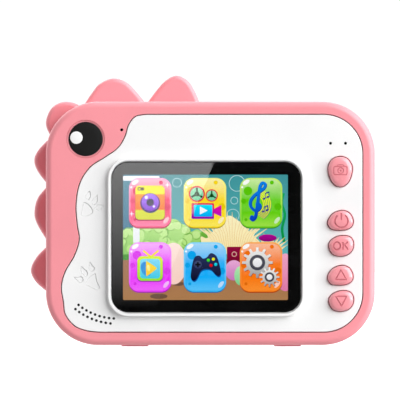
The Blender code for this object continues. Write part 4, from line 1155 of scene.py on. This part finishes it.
def landscape():
    """The picture behind the tiles: sky, hedge, straw, ground, balls, a crate and a post."""
    left, right, bottom, top = DISPLAY
    p = Picture("screen_landscape")
    p.box(*DISPLAY, 0.3, 0, lit((0.10, 0.33, 0.36), (0.145, 0.49, 0.50), 30, top), 2)
    p.plate([(left, 30.0), (-12.0, 30.0), (-12.0, top), (left, top)], 0.8,
            lit((0.10, 0.27, 0.36), (0.09, 0.22, 0.34), 34, 48))
    sky_lines = lit((0.75, 0.95, 0.97), (0.60, 0.85, 0.88), 40, top)
    for u, v, radius in ((10.2, 50.4, 2.4), (9.4, 43.3, 1.1), (9.0, 38.9, 1.9), (-7.6, 48.6, 1.4)):
        p.ring(u, min(v, top - radius - 0.2), radius, radius - 0.13, 1, sky_lines, 30)
    hedge(p)
    sheaf(p)
    stem = curve_through([(24.2, 31.0), (23.6, 35.0), (24.4, 39.0), (23.5, 42.5), (24.0, 45.5)], 6)
    p.line(stem, 0.8, 2, lit((0.06, 0.42, 0.16), (0.03, 0.30, 0.10), 30, 46))
    ground = [(left, bottom), (right, bottom), (right, 25.8), (12, 26.2), (0, 25.4), (-12, 26.4),
              (left, 25.6)]
    p.plate(ground, 3.4, lit((0.39, 0.20, 0.13), (0.45, 0.25, 0.13), bottom, 26))
    shade_brown = lit((0.22, 0.15, 0.12), (0.20, 0.13, 0.10), bottom, 26)
    for u, v, wide, high in ((-13.0, 14.9, 2.6, 0.8), (-7.2, 18.6, 1.9, 0.6)):
        p.oval(u, v, wide, high, 3.8, shade_brown, steps=28)
    p.box(7.2, 12.5, 24.4, 29.6, 0.3, 3.8, lit((0.34, 0.02, 0.10), (0.20, 0.01, 0.07), 24, 30), 3)
    p.oval(19.3, 32.2, 2.7, 1.1, 3.8, lit((0.45, 0.05, 0.32), (0.25, 0.02, 0.20), 31, 33), steps=28)
    p.ring(9.4, 27.4, 0.8, 0.55, 4.1, lit((0.75, 0.45, 0.40), (0.65, 0.35, 0.30), 26, 29))
    balls = ((9.3, 22.6, 2.7, 3.0, (0.85, 0.45, 0.72), (0.60, 0.20, 0.52)),
             (11.4, 21.0, 2.0, 2.9, (0.50, 0.86, 0.50), (0.20, 0.62, 0.28)),
             (24.6, 22.0, 3.0, 5.6, (0.90, 0.42, 0.60), (0.75, 0.22, 0.42)),
             (-8.6, 24.6, 3.9, 6.2, (1.0, 0.80, 0.72), (0.97, 0.66, 0.58)))
    for i, (u, v, wide, high, pale, full) in enumerate(balls):
        p.plate(inside(ellipse(u, v, wide, high, steps=36)), 4.2 + 0.1 * i,
                lit(pale, full, v - high, v + high))
    white = lit((0.97, 0.98, 1.0), (0.85, 0.88, 0.92), 30, top)
    p.box(left, -12.8, 49.2, 50.6, 0.2, 4.2, white, 2)
    p.box(-20.6, -18.7, 30.8, 50.4, 0.2, 4.0, white, 2)
    p.done("lcd_panel")


def screen():
    """Clear cover glass, the black print behind its edge, and the lit picture."""
    loop = rect_loop(GLASS_LOW.x, GLASS_HIGH.x, GLASS_LOW.z, GLASS_HIGH.z, 5.0, 16)
    thickness = GLASS_HIGH.y - GLASS_LOW.y
    edge = convex(0.25, -1, 4)
    far = [(out * 0.5, thickness - depth * 0.5) for out, depth in reversed(edge)]
    glass = slab("screen_glass_skin", GLASS_LOW.y, 1, (loop, edge + far), [GLASS])
    even_shading(glass)
    stand_for(glass, HOUSING, "screen_glass", "screen_glass")
    opening = rect_loop(*DISPLAY, 0.3, 3)
    border = slab("screen_border", GLASS_HIGH.y + 0.03, 1, (loop, [(-0.1, 0), (-0.1, 0.12)]), [PRINT_AND_HOLE_SHADE],
                  [(opening, [(0, 0), (0, 0.12)])])
    stand_for(border, HOUSING, "black_gloss")
    landscape()
    for row in TILES:
        tile(*row)


# ---------------------------------------------------------------- lens side

def speaker_cloth():
    """Black cloth stuck behind the sound holes, well clear of the board."""
    loop = rect_loop(-39.0, -22.0, 5.6, 13.4, 2.0, 6)
    back = REAR_FACE + PANEL_T + 0.1
    cloth = slab("speaker_cloth", back, 1, (loop, [(-0.05, 0), (0, 0.05), (0, 0.3)]), [CONE])
    stand_for(cloth, HOUSING, "paper_cone")


def lens_side():
    """White lens ring with a ribbed black well, window, lens and flash."""
    spot = middle("lens_ring")
    ring = [(14.4, -3.9), (14.4, 0.15), (17.5, 0.15), (17.5, 3.6), (16.9, 4.6), (15.9, 5.0), (13.4, 5.0),
            (12.4, 4.6), (11.6, 3.6), (11.6, 2.0), (8.7, 2.0), (8.7, -3.9)]
    lathe("lens_ring_skin", spot, rounded_profile(raised(FRONT_FACE, ring), 0.25), WHITE,
          "white_plastic", "lens_ring", steps=128, closed=True)
    ribs = [(11.5, 3.0)]
    for step in range(9):
        radius, rise = 11.4 - 0.44 * step, 2.42 - 0.05 * step
        ribs += [(radius, rise), (radius - 0.2, rise), (radius - 0.2, rise - 0.2)]
    well = [(11.5, 1.9), (7.7, 1.2), (7.7, 1.75)] + ribs[::-1]
    lathe("lens_well", spot, raised(FRONT_FACE, well), BLACK_MATT, "chip_black",
          steps=96, closed=True, angle=25)
    low, high = box_mm("lens_window")
    window = [(0, low.y + 0.75), (11.3, low.y + 0.75), (11.3, high.y + 0.3), (0, high.y + 0.3)]
    lathe("lens_window_skin", spot, rounded_profile(window, 0.2), CLEAR,
          "clear_plastic", "lens_window", steps=96)
    top = box_mm("lens_barrel")[1].y
    barrel = [(7.5, -2.6), (7.5, 0), (6.9, 0), (6.5, -0.5), (6.5, -1.2), (6.2, -2.6)]
    lathe("lens_barrel_skin", spot, rounded_profile(raised(top, barrel), 0.12), BLACK_GLOSS,
          "chip_black", "lens_barrel", steps=96, closed=True)
    low, high = box_mm("lens_front_element")
    dome = [(6.1 * math.sin(a), low.y + 0.4 + (high.y - low.y - 0.4) * math.cos(a)) for a in quarter(16)]
    lathe("lens_front_element_skin", spot, dome + [(6.1, low.y), (0, low.y)], LENS_GLASS,
          "clear_plastic", "lens_front_element", steps=96)
    iris = [(6.0, -0.3), (2.2, -0.9), (2.2, -1.3), (6.0, -1.0)]
    lathe("lens_iris", spot, rounded_profile(raised(low.y, iris), 0.05, 2), BLACK_GLOSS,
          "chip_black", steps=64, closed=True)
    low, high = box_mm("flash_light_pipe")
    pipe = [(0, low.y), (2.2, low.y), (2.2, high.y - 0.25), (1.6, high.y), (0, high.y)]
    lathe("flash_window_skin", middle("flash_light_pipe"), rounded_profile(pipe, 0.25), CLEAR,
          "clear_plastic", "flash_light_pipe", steps=48)


def screws():
    """Case screws: pan heads with a cross recess, on their shanks."""
    for node in ("case_screw_" + corner for corner in CORNERS):
        low, high = box_mm(node)
        x, z = middle(node)
        head = high.y - 1.4
        profile = [(0, high.y), (1.1, high.y - 0.05), (1.72, high.y - 0.6), (1.72, head), (0.95, head),
                   (0.95, low.y + 0.8), (0, low.y)]
        body = turned(node + "_skin", x, z, rounded_profile(profile, 0.12), [STEEL], 32)
        bars = []
        for wide, tall in ((1.0, 0.2), (0.2, 1.0)):
            loop = rect_loop(x - wide, x + wide, z - tall, z + tall, 0.08, 2)
            bars.append(slab("cutter", high.y - 0.75, 1, (loop, [(-0.06, 0), (0, 1.5)]), []))
        cut_away(body, bars)
        shade(body)
        stand_for(body, HOUSING, "steel", node)


# ---------------------------------------------------------------- feet, flap and card

def feet():
    """Soft pads with four shallow grooves across each."""
    for name in ("foot_left", "foot_right"):
        low, high = box_mm(name)
        loop = rect_loop(low.x, high.x, low.y, high.y, 3.0, 10)
        grooves = []
        for i in range(4):
            y = low.y + 4.0 + 4.0 * i
            grooves.append((rect_loop(low.x + 1.6, high.x - 1.6, y - 0.35, y + 0.35, 0.34, 5),
                            convex(0.1, 1, 2) + [(0, 0.2)]))
        pad = slab(name + "_skin", low.z, 1, (loop, convex(0.25, -1, 4) + [(0, high.z - low.z)]),
                   [PINK_RUBBER], blinds=grooves, turn=UPRIGHT)
        even_shading(pad)
        stand_for(pad, HOUSING, "pink_rubber", name)


def usb_flap():
    """Rubber flap over the USB socket, with two finger grooves outside and its plug inside."""
    low, high = box_mm("usb_flap")
    inner_x = high.x - 0.6
    grooves = [(rect_loop(low.y + 1.4, high.y - 1.4, high.z - drop - 0.7, high.z - drop, 0.34, 6),
                [(0.1, 0), (0, 0.1), (-0.1, 0.2)]) for drop in (1.9, 3.3)]
    plate_loop = rect_loop(low.y, high.y, low.z, high.z, 1.8, 10)
    plate = slab("flap_plate", -high.x, 1, (plate_loop, convex(0.18, -1, 4) + [(0, 0.42), (-0.12, 0.6)]),
                 [PINK_RUBBER], blinds=grooves, turn=FLAP_TURN)
    y, z = (low.y + high.y) / 2, (low.z + high.z) / 2
    plug_loop = rect_loop(y - 1.2, y + 1.2, z - 3.9, z + 3.9, 1.1, 8)
    reach = inner_x - low.x
    plug = slab("flap_plug", -inner_x - 0.05, 1, (plug_loop, [(0, 0), (0, reach - 0.2), (-0.2, reach)]),
                [PINK_RUBBER], turn=FLAP_TURN)
    flap = join("usb_flap_skin", [plate, plug])
    shade(flap)
    stand_for(flap, "flap", "pink_rubber", "usb_flap")


def memory_card():
    """Memory card: notched outline, thumb ridge at its outer end and gold contacts at the inner one."""
    low, high = box_mm("memory_card")
    outline = [(low.x, low.z + 0.6), (low.x + 9.2, low.z + 0.6), (low.x + 10.2, low.z), (high.x - 0.4, low.z),
               (high.x, low.z + 0.4), (high.x, high.z - 0.4), (high.x - 0.4, high.z), (low.x + 0.5, high.z),
               (low.x, high.z - 0.5)]
    walls = both_edges(0.1, high.y - low.y, 3)
    pieces = [slab("card_body", low.y, 1, (free_loop(outline), walls), [CHIP])]
    for i in range(8):
        z = low.z + 1.4 + i * 1.12
        loop = rect_loop(low.x + 0.6, low.x + 3.4, z, z + 0.75, 0.15, 3)
        pieces.append(slab("contact", low.y - 0.02, 1, (loop, [(-0.02, 0), (0, 0.02), (0, 0.2)]), [GOLD]))
    ridge = rect_loop(high.x - 1.3, high.x - 0.6, low.z + 1.6, high.z - 1.6, 0.3, 4)
    pieces.append(slab("ridge", low.y - 0.12, 1, (ridge, convex(0.12, -1, 3) + [(0, 0.4)]), [CHIP]))
    card = join("memory_card_skin", pieces)
    shade(card)
    stand_for(card, "card", "chip_black", "memory_card")


# ---------------------------------------------------------------- CAD nodes that stay

KEPT = {
    STEEL: ("lcd_frame", "usb_socket", "card_socket", "speaker_frame", "speaker_magnet",
            *("plunger_" + key for key in BUTTONS), *("pcb_screw_%d" % number for number in range(1, 5))),
    CHIP: ("processor_chip", "image_sensor", *("switch_" + key for key in BUTTONS)),
    BOARD: ("main_pcb", "camera_board"), FLEX: ("lcd_flex", "camera_flex"), FOIL: ("battery",),
    # The microphone and the status LEDs take the black print so that their holes look black: painted shade.
    LEAD: ("battery_lead", "speaker_lead"), PRINT_AND_HOLE_SHADE: ("microphone", "status_led_1", "status_led_2"),
    CONE: ("speaker_cone",), BLACK_MATT: ("lens_holder",), PHOSPHOR: ("flash_led",),
}


def dress_kept_nodes():
    """Give each CAD node that stays visible a material; the microphone and status LEDs get black as painted
    shade.
    """
    for material, nodes in KEPT.items():
        for node in nodes:
            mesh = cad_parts[node].data
            mesh.materials.clear()
            mesh.materials.append(material)


# ---------------------------------------------------------------- stage, light and camera

VIEW_X, VIEW_Z = -0.77, 40.5                 # what the camera looks at
VIEW_HEIGHT, VIEW_DISTANCE = 124.6, 5000.0
SENSOR = 36.0
FLOOR_R, FLOOR_DROP = 6000.0, 0.02


def area_light(name, place, target, size, power):
    light = bpy.data.lights.new(name, "AREA")
    light.shape = "SQUARE"
    light.size = size * MM
    light.energy = power
    obj = placed(name, light)
    obj.location = Vector(place) * MM
    obj.rotation_euler = (Vector(target) * MM - obj.location).to_track_quat("-Z", "Y").to_euler()
    obj.visible_camera = False


def lights():
    area_light("key_softbox", (1200, -840, 780), (0, -16, 45), 1900, 51.0)
    area_light("low_side_softbox", (1500, -330, 120), (0, -16, 40), 420, 5.0)
    area_light("lens_side_softbox", (-300, 1300, 900), (0, 16, 40), 1400, 8.0)


GLARE = [(-45, 64), (7.1, 64), (-14.5, 10), (-45, 10)]     # where the reflection lies on the glass
GLARE_DISTANCE = 600.0
GLARE_STRENGTH = 6.2
GLARE_LOW, GLARE_HIGH = 8.0, 66.0            # the glow grows from nothing to its strength between these


def glare_card():
    """A glowing card in front of the camera's left: the slanted reflection seen in the screen glass."""
    spread = 1 + GLARE_DISTANCE / VIEW_DISTANCE
    bm = bmesh.new()
    y = REAR_FACE - GLARE_DISTANCE
    bm.faces.new([bm.verts.new((VIEW_X + (x - VIEW_X) * spread, y, VIEW_Z + (z - VIEW_Z) * spread))
                  for x, z in GLARE])
    paint = Paint("glare_card")
    split = paint.node("ShaderNodeSeparateXYZ")
    paint.link(paint.place, split.inputs["Vector"])
    glow = paint.spread(split.outputs["Z"], 0.0, GLARE_STRENGTH, GLARE_LOW * MM, GLARE_HIGH * MM)
    paint.set(Emission_Strength=glow, Emission_Color=(1, 1, 1, 1), Base_Color=(0, 0, 0, 1),
              Specular_IOR_Level=0.0)
    card = finish_mesh(bm, "glare_card", [paint.material])
    for kind in ("camera", "diffuse", "transmission", "volume_scatter", "shadow"):
        setattr(card, "visible_" + kind, False)


def surroundings():
    """White to the camera; as light, a bright room behind and below the object and a dim one in front."""
    world = bpy.data.worlds.new("studio")
    bpy.context.scene.world = world
    world.use_nodes = True
    tree = world.node_tree
    tree.nodes.clear()
    add = tree.nodes.new
    link = tree.links.new
    split = add("ShaderNodeSeparateXYZ")
    link(add("ShaderNodeTexCoord").outputs["Generated"], split.inputs["Vector"])

    def ramp(axis, *values):
        made = add("ShaderNodeMapRange")
        made.interpolation_type = "SMOOTHSTEP"
        for socket, value in zip(("From Min", "From Max", "To Min", "To Max"), values):
            made.inputs[socket].default_value = value
        link(split.outputs[axis], made.inputs["Value"])
        return made.outputs["Result"]

    def combine(operation, first, second):
        made = add("ShaderNodeMath")
        made.operation = operation
        link(first, made.inputs[0])
        link(second, made.inputs[1])
        return made.outputs[0]

    sides = combine("MULTIPLY", ramp("Y", -0.24, 0.02, 0.29, 1.0), ramp("Z", -0.6, 0.6, 0.90, 1.08))
    sides = combine("MULTIPLY", sides, ramp("X", -0.8, 0.9, 1.3, 0.62))
    room = combine("MAXIMUM", sides, ramp("Z", -1.0, -0.3, 0.7, 0.2))
    level = combine("MULTIPLY", room, ramp("Y", -0.995, -0.88, 0.08, 1.0))
    soft, bright = add("ShaderNodeBackground"), add("ShaderNodeBackground")
    link(level, soft.inputs["Strength"])
    soft.inputs["Color"].default_value = (1, 1, 1, 1)
    bright.inputs["Color"].default_value = (1, 1, 1, 1)
    bright.inputs["Strength"].default_value = 1.05
    mix = add("ShaderNodeMixShader")
    link(add("ShaderNodeLightPath").outputs["Is Camera Ray"], mix.inputs["Fac"])
    link(soft.outputs[0], mix.inputs[1])
    link(bright.outputs[0], mix.inputs[2])
    link(mix.outputs[0], add("ShaderNodeOutputWorld").inputs["Surface"])


def floor():
    """A wide pale floor under the feet, which a view from below sees through."""
    bm = bmesh.new()
    bmesh.ops.create_circle(bm, cap_ends=True, radius=FLOOR_R, segments=96)
    paint = Paint("pale_floor")
    tone = paint.spread(paint.noise(6.0, 3.0), 0.0, 1.0)
    paint.set(Base_Color=paint.blend(tone, (0.93, 0.93, 0.93), (0.96, 0.96, 0.96)), Roughness=0.8,
              Specular_IOR_Level=0.1, Emission_Color=(1, 1, 1, 1), Emission_Strength=0.5)
    seen = paint.node("ShaderNodeMixShader")
    paint.link(paint.node("ShaderNodeNewGeometry").outputs["Backfacing"], seen.inputs["Fac"])
    paint.link(paint.shader.outputs["BSDF"], seen.inputs[1])
    paint.link(paint.node("ShaderNodeBsdfTransparent").outputs["BSDF"], seen.inputs[2])
    paint.link(seen.outputs["Shader"], paint.tree.nodes["Material Output"].inputs["Surface"])
    obj = finish_mesh(bm, "floor", [paint.material])
    obj.location.z = -FLOOR_DROP * MM
    for kind in ("diffuse", "glossy", "transmission", "shadow"):
        setattr(obj, "visible_" + kind, False)


def camera():
    view = bpy.data.cameras.new("photo_view")
    view.sensor_width = SENSOR
    view.lens = SENSOR * VIEW_DISTANCE / VIEW_HEIGHT
    view.clip_end = 50
    obj = placed("photo_view", view)
    obj.location = Vector((VIEW_X, REAR_FACE - VIEW_DISTANCE, VIEW_Z)) * MM
    obj.rotation_euler = (math.pi / 2, 0, 0)
    bpy.context.scene.camera = obj


bpy.context.scene.view_settings.view_transform = "Standard"
camera()
surroundings()
lights()
glare_card()
floor()
rear_shell()
front_shell()
fins()
rear_panel()
eye()
for button_key in BUTTONS:
    button(button_key)
screen()
speaker_cloth()
lens_side()
screws()
feet()
usb_flap()
memory_card()
dress_kept_nodes()
